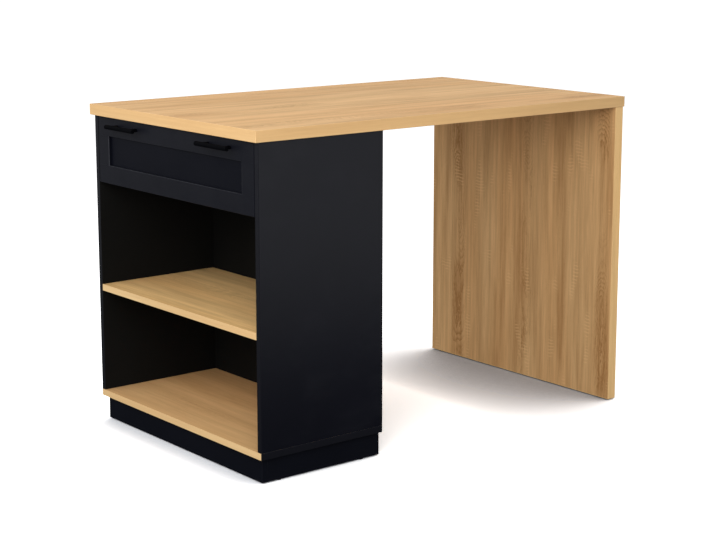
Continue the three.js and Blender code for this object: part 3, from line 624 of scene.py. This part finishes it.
def bare_mesh(form: Form, name: str) -> Mesh:
    """Turns a form into a mesh as it is.

    Args:
        form: the form, which is freed.
        name: the mesh's name.

    Returns:
        The mesh.
    """
    mesh = bpy.data.meshes.new(name)
    form.to_mesh(mesh)
    form.free()
    return mesh


def finished_mesh(form: Form, name: str, fold: float = BOARD_FOLD) -> Mesh:
    """Turns a built form into a smooth-shaded mesh with sharp edges kept.

    Args:
        form: the form, which is freed.
        name: the mesh's name.
        fold: folds over this many degrees stay sharp.

    Returns:
        The mesh.
    """
    bmesh.ops.recalc_face_normals(form, faces=form.faces)
    mesh = bare_mesh(form, name)
    mesh.shade_smooth()
    mesh.set_sharp_from_angle(angle=math.radians(fold))
    return mesh


def moved(form: Form, matrix: Matrix) -> Form:
    """Moves a whole form by a matrix, and gives it back."""
    bmesh.ops.transform(form, matrix=matrix, verts=form.verts)
    return form


def joined(forms: Iterable[Form]) -> Form:
    """Joins forms into one.

    Args:
        forms: the forms, which are freed.

    Returns:
        The one form, with their faces in their order.
    """
    whole = bmesh.new()
    for form in forms:
        shell = bare_mesh(form, "shell")
        whole.from_mesh(shell)
        bpy.data.meshes.remove(shell)
    return whole


def sliced(form: Form, axis: Axis, level: float) -> None:
    """Cuts a form's faces all round at a level of an axis."""
    everything = [*form.verts, *form.edges, *form.faces]
    bmesh.ops.bisect_plane(form, geom=everything, plane_co=axis.unit * level, plane_no=axis.unit)


def lathe(outline: Outline, steps: int = 48) -> Form:
    """Turns an outline about Z.

    Args:
        outline: radius and height of each point, from the lower end on the axis to the upper end on it.
        steps: how many sides the round has.

    Returns:
        The closed form.
    """
    form = bmesh.new()
    angles = [2 * math.pi * step / steps for step in range(steps)]
    rings = []
    for radius, height in outline:
        corners = [(radius * math.cos(a), radius * math.sin(a)) for a in angles] if radius else [(0.0, 0.0)]
        rings.append([form.verts.new((*corner, height)) for corner in corners])
    for lower, upper in zip(rings, rings[1:]):
        for step in range(steps):
            follow = (step + 1) % steps
            corners = [lower[step % len(lower)], lower[follow % len(lower)],
                       upper[follow % len(upper)], upper[step % len(upper)]]
            unique = list(dict.fromkeys(corners))
            if len(unique) > 2:
                form.faces.new(unique)
    return form


def rounded_corner(radius: float, height: float, bend: float, rising: bool, steps: int = 4) -> Outline:
    """Points of a rounded rim for an outline that is to be turned.

    Args:
        radius: the outer radius.
        height: the level of the flat next to the rim.
        bend: the rim's own radius.
        rising: True from a flat foot up to the wall, False from the wall to a flat head.
        steps: how many steps the rim has.

    Returns:
        Radius and height of each point.
    """
    angles = [QUARTER_TURN * step / steps for step in range(steps + 1)]
    if rising:
        return [(radius - bend + bend * math.sin(a), height + bend - bend * math.cos(a)) for a in angles]
    return [(radius - bend + bend * math.cos(a), height - bend + bend * math.sin(a)) for a in angles]


def cut_out(mesh: Mesh, cutters: Sequence[Mesh]) -> Mesh:
    """Takes shapes out of a mesh.

    Args:
        mesh: the mesh to cut, which is used up.
        cutters: the closed shapes, which are used up.

    Returns:
        The cut mesh.
    """
    blank = in_scene("blank", mesh)
    tools = [in_scene("cutter", cutter) for cutter in cutters]
    for tool in tools:
        modifier = blank.modifiers.new("cut", "BOOLEAN")
        modifier.operation, modifier.solver, modifier.object = "DIFFERENCE", "EXACT", tool
    bpy.context.view_layer.update()
    cut = bpy.data.meshes.new_from_object(blank.evaluated_get(bpy.context.evaluated_depsgraph_get()))
    for thing in (blank, *tools):
        bpy.data.objects.remove(thing)
    return cut


@dataclass
class Board:
    """A faced board with thin edge bands and eased arrises, in the place of one solid.

    The mesh carries grain coordinates, with x along the grain on each face, and an arris value that is over
    zero only on the eased arrises.
    """

    node: str
    slot: str
    face: Material
    band: Material
    grain: Axis
    banded: tuple[Edge, ...] = ()
    arris: float = 0.6 * MM
    band_thickness: float = 1.0 * MM
    decor: Point = (0.0, 0.0, 0.0)  # where in the decor the board is cut
    flat: float = 0.9999  # a face is flat where its normal's largest part is over this
    square: float = math.radians(80)  # edges are eased where the faces fold by more than this
    axis_slice: float = 0.37  # how far apart in the decor the faces of two axes are
    back_slice: float = 0.9  # and the two faces of one axis
    low: Vector = field(init=False)
    high: Vector = field(init=False)

    def __post_init__(self) -> None:
        """Reads the board's corners from its solid."""
        self.low, self.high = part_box(self.node)

    def build(self) -> Thing:
        """Makes the board."""
        return self.place(self.mesh())

    def build_with(self, third: Material, chosen: Callable[[Polygon], bool]) -> None:
        """Makes the board with a third finish on some faces.

        Args:
            third: the finish.
            chosen: whether a face gets it.
        """
        mesh = self.mesh()
        for polygon in mesh.polygons:
            if chosen(polygon):
                polygon.material_index = 2
        self.place(mesh).data.materials.append(third)

    def place(self, mesh: Mesh) -> Thing:
        """Puts the board's mesh in the scene."""
        return stand_in(self.node, mesh, f"{self.node}_board", self.slot, self.face, self.band)

    def mesh(self) -> Mesh:
        """Makes the board's mesh, with its grain and arris values.

        Returns:
            The mesh.
        """
        form = bmesh.new()
        middle, size = (self.low + self.high) / 2, self.high - self.low
        bmesh.ops.create_cube(form, size=1.0, matrix=Matrix.Translation(middle) @ Matrix.Diagonal((*size, 1.0)))
        for edge in self.banded:
            axis, sign = edge.value
            level = self.low[axis] + self.band_thickness if sign < 0 else self.high[axis] - self.band_thickness
            sliced(form, Axis(axis), level)
        self.cut_form(form)
        for part in form.faces:
            part.material_index = 1 if self._in_band(part.calc_center_median()) else 0
        corners = [edge for edge in form.edges if edge.calc_face_angle(0.0) > self.square and self.eased(edge)]
        bmesh.ops.bevel(form, geom=corners, offset=self.arris, segments=3, profile=0.5, affect="EDGES", material=-1)
        mesh = finished_mesh(form, f"{self.node}_board")
        mesh.materials.append(self.face)
        mesh.materials.append(self.band)
        self.write_values(mesh)
        return mesh

    def cut_form(self, form: Form) -> None:
        """Cuts the board further before its edges are eased, where a kind of board needs it."""

    def eased(self, edge: FormEdge) -> bool:
        """Whether an edge of the board is eased, which all are unless a kind of board says otherwise."""
        return edge.is_valid

    def _in_band(self, point: Vector) -> bool:
        """Whether a point lies in one of the edge bands.

        Args:
            point: the point.

        Returns:
            True if it does.
        """
        depths = (point[axis] - self.low[axis] if sign < 0 else self.high[axis] - point[axis]
                  for axis, sign in (edge.value for edge in self.banded))
        return any(depth < self.band_thickness for depth in depths)

    def write_values(self, mesh: Mesh) -> None:
        """Writes the grain coordinates and the arris values.

        Args:
            mesh: the board's mesh.
        """
        size = self.high - self.low
        longest = max((axis for axis in Axis if axis != self.grain), key=lambda axis: size[axis.value])
        mesh.attributes.new(GRAIN, "FLOAT_VECTOR", "CORNER")
        mesh.attributes.new(ARRIS, "FLOAT", "CORNER")
        grain, arris, origin = mesh.attributes[GRAIN], mesh.attributes[ARRIS], Vector(self.decor)
        for polygon in mesh.polygons:
            facing = max(Axis, key=lambda axis: abs(polygon.normal[axis.value]))
            along = longest if facing == self.grain else self.grain
            across = next(axis for axis in Axis if axis not in (facing, along))
            depth = self.axis_slice * facing.value + (self.back_slice if polygon.normal[facing.value] > 0 else 0.0)
            flat = max(abs(part) for part in polygon.normal) > self.flat
            for corner in polygon.loop_indices:
                point = mesh.vertices[mesh.loops[corner].vertex_index].co
                grain.data[corner].vector = origin + Vector((point[along.value], point[across.value], depth))
                if not flat:
                    depths = sorted(min(point[axis] - self.low[axis], self.high[axis] - point[axis])
                                    for axis in range(3))
                    arris.data[corner].value = max(0.0, 1.0 - depths[1] / self.arris)


# ---- Worktop and leg panel ----


@dataclass
class Worktop:
    """The oak slab over the whole island."""

    finishes: Finishes
    arris: float = 1.2 * MM
    band_thickness: float = 2.0 * MM

    def build(self) -> None:
        """Makes the slab, with bands on all four edges."""
        Board("worktop", "oak", self.finishes.worktop, self.finishes.worktop_band, Axis.X,
              (Edge.FRONT, Edge.REAR, Edge.NEAR, Edge.FAR), self.arris, self.band_thickness).build()


@dataclass
class LegPanel:
    """The oak panel under the free end, with its cam locks, their covers and its glides."""

    finishes: Finishes
    arris: float = 0.8 * MM
    band_thickness: float = 2.0 * MM
    cover_radius: float = 9.0 * MM
    cover_thickness: float = 0.35 * MM
    pocket_play: float = 0.3 * MM
    decor: Point = (0.61, 0.037, 15.04)

    def build(self) -> None:
        """Makes the panel and its fittings."""
        board = Board("leg_panel", "oak", self.finishes.leg, self.finishes.leg_band, Axis.Z,
                      (Edge.NEAR, Edge.FAR, Edge.FOOT), self.arris, self.band_thickness, self.decor)
        cams = [f"cam_lock_{number}" for number in (1, 2, 3)]
        mesh = cut_out(board.mesh(), [self._pocket(board, cam) for cam in cams])
        for name in (GRAIN, ARRIS):
            if name in mesh.attributes:
                mesh.attributes.remove(mesh.attributes[name])
        board.write_values(mesh)
        mesh.set_sharp_from_angle(angle=math.radians(BOARD_FOLD))
        board.place(mesh)
        for number, cam in enumerate(cams, 1):
            dress(cam, self.finishes.zinc)
            dress(f"cam_bolt_{number}", self.finishes.zinc)
            self._cover(board, cam, f"cam_cover_{number}")
        for side in Side:
            Glide(f"leg_glide_{side.word}", self.finishes.plastic).build()

    @staticmethod
    def _at_cam(form: Form, board: Board, cam: str, turn: float) -> Form:
        """Sets a turned form on the panel's inner face, at a cam lock.

        Args:
            form: the form.
            board: the panel.
            cam: the cam lock's solid.
            turn: the turn about Y that points the form's Z into the panel or out of it.

        Returns:
            The form.
        """
        low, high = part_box(cam)
        place = Matrix.Translation((board.low.x, (low.y + high.y) / 2, (low.z + high.z) / 2))
        return moved(form, place @ Matrix.Rotation(turn, 4, "Y"))

    def _pocket(self, board: Board, cam: str) -> Mesh:
        """The round pocket that a cam lock sits in.

        Args:
            board: the panel.
            cam: the cam lock's solid.

        Returns:
            The shape to take out.
        """
        low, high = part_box(cam)
        radius = (high.z - low.z) / 2 + self.pocket_play
        depth = high.x - board.low.x + self.pocket_play
        form = lathe([(0.0, -MM), (radius, -MM), (radius, depth), (0.0, depth)])
        return finished_mesh(self._at_cam(form, board, cam, QUARTER_TURN), "pocket")

    def _cover(self, board: Board, cam: str, name: str) -> None:
        """A stuck-on disc of the panel's own decor over a cam lock.

        Args:
            board: the panel.
            cam: the cam lock's solid.
            name: the cover's name.
        """
        radius, thickness = self.cover_radius, self.cover_thickness
        form = lathe([(0.0, 0.0), (radius, 0.0), *rounded_corner(radius, thickness, thickness / 2, rising=False),
                      (0.0, thickness)])
        mesh = finished_mesh(self._at_cam(form, board, cam, -QUARTER_TURN), name)
        board.write_values(mesh)
        add_piece(mesh, name, body_of("leg_panel"), (self.finishes.leg,))


@dataclass
class Glide:
    """A moulded disc between the floor and a board's lower edge, held by a nail in its sunk middle."""

    node: str
    material: Material
    rim: float = 0.9 * MM
    sink_share: float = 0.35
    sink_depth: float = 0.5 * MM

    def build(self) -> None:
        """Makes the glide."""
        low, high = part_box(self.node)
        radius, height = (high.x - low.x) / 2, high.z - low.z
        sink = radius * self.sink_share
        outline = [(0.0, self.sink_depth), (sink, self.sink_depth), (sink + self.sink_depth, 0.0),
                   *rounded_corner(radius, 0.0, self.rim, rising=True), (radius, height), (0.0, height)]
        form = moved(lathe(outline), Matrix.Translation(((low.x + high.x) / 2, (low.y + high.y) / 2, low.z)))
        name = f"{self.node}_disc"
        stand_in(self.node, finished_mesh(form, name, ROUND_FOLD), name, "dark_plastic", self.material)


# ---- Cabinet ----


@dataclass
class Cabinet:
    """The black carcass with its oak boards, plinth and stretchers."""

    finishes: Finishes
    bottom_decor: Point = (2.9, 0.2, 9.0)
    shelf_decor: Point = (1.7, 0.1, 5.3)

    def build(self) -> None:
        """Makes the carcass."""
        for side in Side:
            self._side_panel(side)
        self._black_boards(self.finishes.inside, self.finishes.band, {"back_panel": Axis.Z})
        self._bottom_board()
        Board("middle_shelf", "oak", self.finishes.shelf, self.finishes.shelf_band, Axis.Y, (Edge.FRONT,),
              decor=self.shelf_decor).build()
        self._black_boards(self.finishes.inside, self.finishes.band,
                           {"stretcher_front": Axis.Y, "stretcher_back": Axis.Y})
        self._black_boards(self.finishes.plinth, self.finishes.plinth, {
            "plinth_front": Axis.Y, "plinth_back": Axis.Y, "plinth_near": Axis.X, "plinth_far": Axis.X})
        self._fittings()

    @staticmethod
    def _black_boards(face: Material, band: Material, runs: dict[str, Axis]) -> None:
        """Black boards with no edge bands, by name, each with the axis that it runs along."""
        for node, run in runs.items():
            Board(node, "black_board", face, band, run).build()

    def _side_panel(self, side: Side) -> None:
        """A side panel, with its face towards the niches in the inner finish.

        Args:
            side: the side that it closes.
        """
        board = Board(f"side_panel_{side.word}", "black_board", self.finishes.side, self.finishes.side_band, Axis.Z,
                      (Edge.FRONT, Edge.REAR))
        board.build_with(self.finishes.inside, lambda polygon: polygon.normal.y * side.value < -FACING)

    def _bottom_board(self) -> None:
        """The oak bottom board, whose front band is oak and whose ends are banded in black."""
        board = Board("bottom_board", "oak", self.finishes.bottom, self.finishes.band, Axis.Y,
                      (Edge.NEAR, Edge.FAR, Edge.REAR), decor=self.bottom_decor)
        board.build_with(self.finishes.shelf_band,
                         lambda polygon: polygon.material_index == 0 and polygon.normal.x < -FACING)

    def _fittings(self) -> None:
        """The plinth's glides, the shelf pins, and the screws up into the worktop."""
        for side in Side:
            for number in (1, 2):
                Glide(f"plinth_glide_{side.word}_{number}", self.finishes.plastic).build()
                dress(f"shelf_pin_{side.word}_{number}", self.finishes.zinc)
        for number in range(1, 5):
            Screw(f"worktop_screw_{number}", self.finishes.zinc, Axis.Z).build()


@dataclass
class Screw:
    """A pan-head screw with a cross recess, with its head at the low end of its axis, or at the high end."""

    node: str
    material: Material
    axis: Axis
    head_at_high_end: bool = False
    head_height: float = 2.6 * MM
    shank_radius: float = 2.0 * MM
    recess_width: float = 1.1 * MM
    recess_depth: float = 1.5 * MM
    recess_reach: float = 0.55  # as a share of the head's radius
    recess_taper: float = 0.45  # the length of its bars' inner ends, as a share of that at their mouths
    # The head's round top: shares of its radius, and how far below the top the head is there
    dome: tuple[tuple[float, float], ...] = ((0.45, 0.08 * MM), (0.72, 0.35 * MM), (0.9, 0.9 * MM), (1.0, 1.6 * MM))

    def build(self) -> None:
        """Makes the screw."""
        low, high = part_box(self.node)
        start, length = (low + high) / 2, (high - low)[self.axis.value]
        head_radius = min(high - low) / 2
        outline = [(0.0, 0.0), *((head_radius * share, height) for share, height in self.dome),
                   (head_radius, self.head_height), (self.shank_radius, self.head_height),
                   (self.shank_radius, length - self.shank_radius), (0.0, length)]
        mesh = cut_out(finished_mesh(lathe(outline, steps=32), self.node, ROUND_FOLD), self._recess(head_radius))
        mesh.set_sharp_from_angle(angle=math.radians(ROUND_FOLD))
        turn = self.axis.unit.to_track_quat("Z", "X").to_matrix().to_4x4()
        flip = Matrix.Rotation(math.pi, 4, "X") if self.head_at_high_end else Matrix.Identity(4)
        mesh.transform(turn @ flip)
        start[self.axis.value] = (high if self.head_at_high_end else low)[self.axis.value]
        mesh.transform(Matrix.Translation(start))
        stand_in(self.node, mesh, f"{self.node}_cross_head", "zinc_steel", self.material)

    def _recess(self, head_radius: float) -> list[Mesh]:
        """The two tapered bars of the cross recess.

        Args:
            head_radius: the head's radius.

        Returns:
            The shapes to take out.
        """
        bars = []
        size = (2 * head_radius * self.recess_reach, self.recess_width, 2 * self.recess_depth, 1.0)
        for turn in (0.0, QUARTER_TURN):
            form = bmesh.new()
            bmesh.ops.create_cube(form, size=1.0, matrix=Matrix.Diagonal(size))
            for vertex in form.verts:
                if vertex.co.z > 0:
                    vertex.co.x *= self.recess_taper
            bmesh.ops.rotate(form, verts=form.verts, matrix=Matrix.Rotation(turn, 3, "Z"))
            bars.append(finished_mesh(form, "recess"))
        return bars


# ---- Drawer ----


@dataclass
class FrameMember(Board):
    """A rail or stile of the framed front, eased where it is free and square where it meets another."""

    opening: tuple[Vector, Vector] = (Vector(), Vector())
    touch: float = 1.0 * MM

    def __post_init__(self) -> None:
        """Reads the member's corners, and leaves out a stile's tenons, which lie inside the rails."""
        super().__post_init__()
        if self.grain is Axis.Z:
            self.low.z, self.high.z = self.opening[0].z, self.opening[1].z

    def cut_form(self, form: Form) -> None:
        """Splits a rail where the stiles meet it, and again close by, to keep the end of the easing there flat.

        Args:
            form: the member's form.
        """
        if self.grain is Axis.Y:
            for corner in self.opening:
                sliced(form, Axis.Y, corner.y)
                sliced(form, Axis.Y, corner.y + math.copysign(2 * self.arris, corner.y))

    def eased(self, edge: FormEdge) -> bool:
        """Whether an edge is clear of the joints between rails and stiles.

        Args:
            edge: the edge.

        Returns:
            True if it is.
        """
        middle = (edge.verts[0].co + edge.verts[1].co) / 2
        low, high = self.opening
        level = min(abs(middle.z - low.z), abs(middle.z - high.z)) < self.touch
        return not level or low.y < middle.y < high.y

    def write_values(self, mesh: Mesh) -> None:
        """Writes the grain and arris values, with no painted arris highlight at the ends that face the side panels.

        Args:
            mesh: the member's mesh.
        """
        super().write_values(mesh)
        reach = max(abs(self.low.y), abs(self.high.y)) - 2 * self.arris
        arris = mesh.attributes[ARRIS]
        for loop in mesh.loops:
            if abs(mesh.vertices[loop.vertex_index].co.y) > reach:
                arris.data[loop.index].value = 0.0


@dataclass
class DrawerFront:
    """The framed front: two rails, two stiles and a panel sunk between them."""

    finishes: Finishes
    arris: float = 1.5 * MM
    joint: float = 0.15 * MM

    def build(self) -> None:
        """Makes the front."""
        paint = self.finishes.frame
        near_stile, far_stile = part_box("front_stile_near"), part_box("front_stile_far")
        sill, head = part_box("front_rail_bottom"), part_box("front_rail_top")
        opening = (Vector((0.0, near_stile[1].y, sill[1].z + self.joint)),
                   Vector((0.0, far_stile[0].y, head[0].z - self.joint)))
        members = [(f"front_rail_{end}", Axis.Y) for end in ("top", "bottom")]
        members += [(f"front_stile_{side.word}", Axis.Z) for side in Side]
        for node, run in members:
            FrameMember(node, "black_paint", paint, paint, run, arris=self.arris, opening=opening).build()
        Board("front_panel", "black_paint", self.finishes.panel, self.finishes.panel, Axis.Y).build()


@dataclass
class Handles:
    """The two bar handles on their posts, and the screws behind them."""

    finishes: Finishes
    bar_radius: float = 6.0 * MM
    post_radius: float = 4.5 * MM
    post_spacing: float = 96.0 * MM
    rim: float = 1.0 * MM

    def build(self) -> None:
        """Makes the handles and their screws."""
        for side in Side:
            self._handle(f"handle_{side.word}")
        for number in range(1, 5):
            Screw(f"handle_screw_{number}", self.finishes.zinc, Axis.X, head_at_high_end=True).build()

    def _handle(self, node: str) -> None:
        """One handle: a round bar with softened ends, and two posts behind it.

        Args:
            node: the handle's solid.
        """
        low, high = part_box(node)
        middle = (low + high) / 2
        reach, bar_x = (high.y - low.y) / 2, low.x + self.bar_radius
        outline = [(0.0, -reach), *rounded_corner(self.bar_radius, -reach, self.rim, rising=True),
                   *rounded_corner(self.bar_radius, reach, self.rim, rising=False), (0.0, reach)]
        place = Matrix.Translation((bar_x, middle.y, middle.z))
        forms = [moved(lathe(outline, steps=40), place @ Matrix.Rotation(QUARTER_TURN, 4, "X"))]
        length = high.x - bar_x
        for end in (-1, 1):
            post = lathe([(0.0, 0.0), (self.post_radius, 0.0), (self.post_radius, length), (0.0, length)], steps=32)
            where = Matrix.Translation((bar_x, middle.y + end * self.post_spacing / 2, middle.z))
            forms.append(moved(post, where @ Matrix.Rotation(QUARTER_TURN, 4, "Y")))
        name = f"{node}_bar"
        stand_in(node, finished_mesh(joined(forms), name, ROUND_FOLD), name, "black_metal", self.finishes.handle)


@dataclass
class DrawerBox:
    """The drawer's box: two sides, a front and a back wall, and a thin bottom in their grooves."""

    finishes: Finishes
    bottom_arris: float = 0.3 * MM

    def build(self) -> None:
        """Makes the box."""
        inside, band = self.finishes.inside, self.finishes.band
        walls = {"box_side_near": Axis.X, "box_side_far": Axis.X, "box_front": Axis.Y, "box_back": Axis.Y}
        for node, run in walls.items():
            Board(node, "black_board", inside, band, run, (Edge.HEAD,)).build()
        Board("box_bottom", "black_board", inside, inside, Axis.Y, arris=self.bottom_arris).build()


@dataclass
class Runners:
    """The ball runners: rolled members, and the balls in their retainers."""

    finishes: Finishes
    ball_radius: float = 2.04 * MM
    ball_bands: int = 12  # how many bands of faces a ball has from pole to pole
    ball_pitch: float = 28.0 * MM
    balls_in_row: int = 5
    end_margin: float = 12.0 * MM
    lip: float = 0.4 * MM
    ball_depth: float = 2.0 * MM

    def build(self) -> None:
        """Dresses the members and the retainers, and adds the balls."""
        for side in Side:
            for place in ("cabinet", "middle", "drawer"):
                dress(f"runner_{place}_{side.word}", self.finishes.zinc)
            for place in ("outer", "inner"):
                node = f"ball_retainer_{place}_{side.word}"
                dress(node, self.finishes.zinc)
                self._balls(node, side)

    def _balls(self, node: str, side: Side) -> None:
        """Smooth steel balls over the solid's own.

        Args:
            node: the retainer's solid.
            side: the side that it is on.
        """
        low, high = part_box(node)
        y = high.y - self.lip - self.ball_depth if side is Side.NEAR else low.y + self.lip + self.ball_depth
        radius, angles = self.ball_radius, [math.pi * step / self.ball_bands for step in range(1, self.ball_bands)]
        outline = [(0.0, -radius), *((radius * math.sin(a), -radius * math.cos(a)) for a in angles), (0.0, radius)]
        levels = (low.z + self.ball_depth, high.z - self.ball_depth)
        places = [Matrix.Translation((low.x + self.end_margin + index * self.ball_pitch, y, level))
                  for level in levels for index in range(self.balls_in_row)]
        name = f"{node}_balls"
        mesh = finished_mesh(joined(moved(lathe(outline, steps=20), place) for place in places), name)
        add_piece(mesh, name, body_of(node), (self.finishes.ball,))


# ---- Studio ----


def direction(azimuth: float, elevation: float) -> Vector:
    """The way from the island to what stands at an azimuth, 0 on the near side, and an elevation, in degrees."""
    turn, rise = math.radians(azimuth), math.radians(elevation)
    return Vector((math.sin(turn) * math.cos(rise), -math.cos(turn) * math.cos(rise), math.sin(rise)))


@dataclass(frozen=True)
class Lamp:
    """A soft rectangular lamp, set by its direction from the middle of the island."""

    name: str
    azimuth: float
    elevation: float
    power: float
    size: tuple[float, float] = (2.4, 2.4)
    distance: float = 4.0

    def build(self, aim: Vector) -> None:
        """Hangs the lamp.

        Args:
            aim: the point that it lights.
        """
        light = bpy.data.lights.new(self.name, "AREA")
        light.shape, (light.size, light.size_y), light.energy = "RECTANGLE", self.size, self.power
        lamp = in_scene(self.name, light)
        lamp.location = aim + self.distance * direction(self.azimuth, self.elevation)
        lamp.rotation_euler = (aim - lamp.location).to_track_quat("-Z", "Y").to_euler()


@dataclass
class Studio:
    """A plain white floor, soft lamps round the drawer end and the near side, and the camera.

    The floor's painted shade, laid in its colour over the island's cast shadow, is that of ambient occlusion. Of its
    pairs of values, the first holds by the plinth and the second by the leg panel.
    """

    camera_place: Point = (-2.9884, -3.7105, 1.3985)
    camera_direction: tuple[float, float] = (-38.775, 10.495)  # the azimuth and elevation that it looks from
    camera_lens: float = 85.34
    camera_sensor: float = 36.0
    camera_shift: float = -0.05
    aim: Point = (0.0, 0.0, 0.45)
    world_strength: float = 0.45
    bounce: float = 0.25
    floor_gain: float = 1.1
    floor_size: float = 120.0
    shade_depth: tuple[float, float] = (1.0, 1.55)
    shade_reach: tuple[float, float] = (0.11, 0.52)
    shade_change: tuple[float, float] = (-0.2, 0.5)  # the x where the first values end and the second begin
    shade_tint: Colour = (1.03, 1.01, 0.97)
    shade_lean: Point = (0.9, -0.15, 0.42)  # the normal that the shade is worked out with, which makes it lean
    shade_samples: int = 16
    # painted reflection: the floor as reflections see it is dark near the island and white further away
    dim_floor: tuple[float, float, float] = (0.8, 4.2, 0.0)  # in reflections: from where, to where, and how dark
    lamps: tuple[Lamp, ...] = (
        Lamp("end light", 270.0, 30.0, 48.0),
        Lamp("far corner light", 230.0, 14.0, 22.0),
        Lamp("corner light", 315.0, 25.0, 52.0),
        Lamp("low corner light", 315.0, 12.0, 16.0, (2.0, 2.0)),
        Lamp("side light", 351.0, 14.0, 29.0),
        Lamp("rear light", 115.0, 60.0, 26.0, (3.0, 3.0)),
    )

    def build(self) -> None:
        """Makes the floor, the world, the lamps and the camera."""
        self._floor()
        self._world()
        for lamp in self.lamps:
            lamp.build(Vector(self.aim))
        self._camera()
        bpy.context.scene.view_settings.view_transform = "Standard"

    @staticmethod
    def _rays(graph: Graph) -> tuple[Term, Term]:
        """What a ray is.

        Args:
            graph: the graph that asks.

        Returns:
            Whether it comes from the camera, and whether it comes from a glossy or a clear surface.
        """
        path = graph.add("ShaderNodeLightPath", {})
        camera, glossy, clear = (graph.out(path, f"Is {kind} Ray") for kind in ("Camera", "Glossy", "Transmission"))
        return camera, graph.math("MAXIMUM", glossy, clear)

    def _floor(self) -> None:
        """A floor that looks white to the camera, keeps the island's shadow with painted shade added, is painted dark
        near the island in reflections, and throws little light back.
        """
        form = bmesh.new()
        bmesh.ops.create_grid(form, x_segments=1, y_segments=1, size=self.floor_size / 2)
        floor = in_scene("floor", bare_mesh(form, "floor"))
        material = bpy.data.materials.new("White floor")
        floor.data.materials.append(material)
        graph = cleared_graph(material)
        camera, shiny = self._rays(graph)
        where = graph.value("ShaderNodeTexCoord", {}, "Object")
        along = graph.value("ShaderNodeSeparateXYZ", {0: where})
        # painted shade: the floor's colour to the camera is darkened by ambient occlusion read along a leaning normal
        reach, depth = (graph.ranged(along, *self.shade_change, *ends) for ends in (self.shade_reach, self.shade_depth))
        lean = graph.value("ShaderNodeCombineXYZ", dict(enumerate(self.shade_lean)))
        open_share = graph.value("ShaderNodeAmbientOcclusion", {"Distance": reach, "Normal": lean}, "AO",
                                 samples=self.shade_samples)
        gain = self.floor_gain / self.world_strength
        levels = [graph.math("POWER", open_share, depth * tint) * gain for tint in self.shade_tint]
        # painted reflection: glossy rays see the floor dark near the island and white further away, so the black side
        # boards come out darker towards the bottom
        first, last, lowest = self.dim_floor
        away = graph.value("ShaderNodeVectorMath", {0: where}, "Value", operation="LENGTH")
        seen, mirrored, lit = (graph.value("ShaderNodeBsdfDiffuse", {"Color": tone}) for tone in (
            graph.value("ShaderNodeCombineColor", dict(enumerate(levels))),
            graph.mixed(graph.ranged(away, first, last), [lowest] * 3, [1.0] * 3),
            rgba([self.bounce] * 3)))
        unseen = graph.value("ShaderNodeMixShader", {0: shiny, 1: lit, 2: mirrored})
        both = graph.value("ShaderNodeMixShader", {0: camera, 1: unseen, 2: seen})
        graph.add("ShaderNodeOutputMaterial", {0: both})

    def _world(self) -> None:
        """An even surround that looks white to the camera and in reflections."""
        world = bpy.data.worlds.new("studio")
        bpy.context.scene.world = world
        graph = cleared_graph(world)
        seen = graph.math("MAXIMUM", *self._rays(graph))
        strength = seen * (1.0 - self.world_strength) + self.world_strength
        surround = graph.value("ShaderNodeBackground", {"Color": (1.0, 1.0, 1.0, 1.0), "Strength": strength})
        graph.add("ShaderNodeOutputWorld", {0: surround})

    def _camera(self) -> None:
        """The camera at the photograph's angle."""
        data = bpy.data.cameras.new("camera")
        data.lens, data.sensor_width, data.shift_y = self.camera_lens, self.camera_sensor, self.camera_shift
        camera = in_scene("camera", data)
        camera.location = self.camera_place
        camera.rotation_euler = (-direction(*self.camera_direction)).to_track_quat("-Z", "Y").to_euler()
        bpy.context.scene.camera = camera


def main() -> None:
    """Builds the island's looks in order."""
    logging.basicConfig(level=logging.INFO, format="%(name)s: %(message)s")
    finishes = Finishes(EffectGroups())
    for assembly in (Worktop(finishes), LegPanel(finishes), Cabinet(finishes), DrawerFront(finishes),
                     Handles(finishes), DrawerBox(finishes), Runners(finishes), Studio()):
        LOG.info("building %s", type(assembly).__name__)
        assembly.build()


if __name__ == "__main__":
    main()
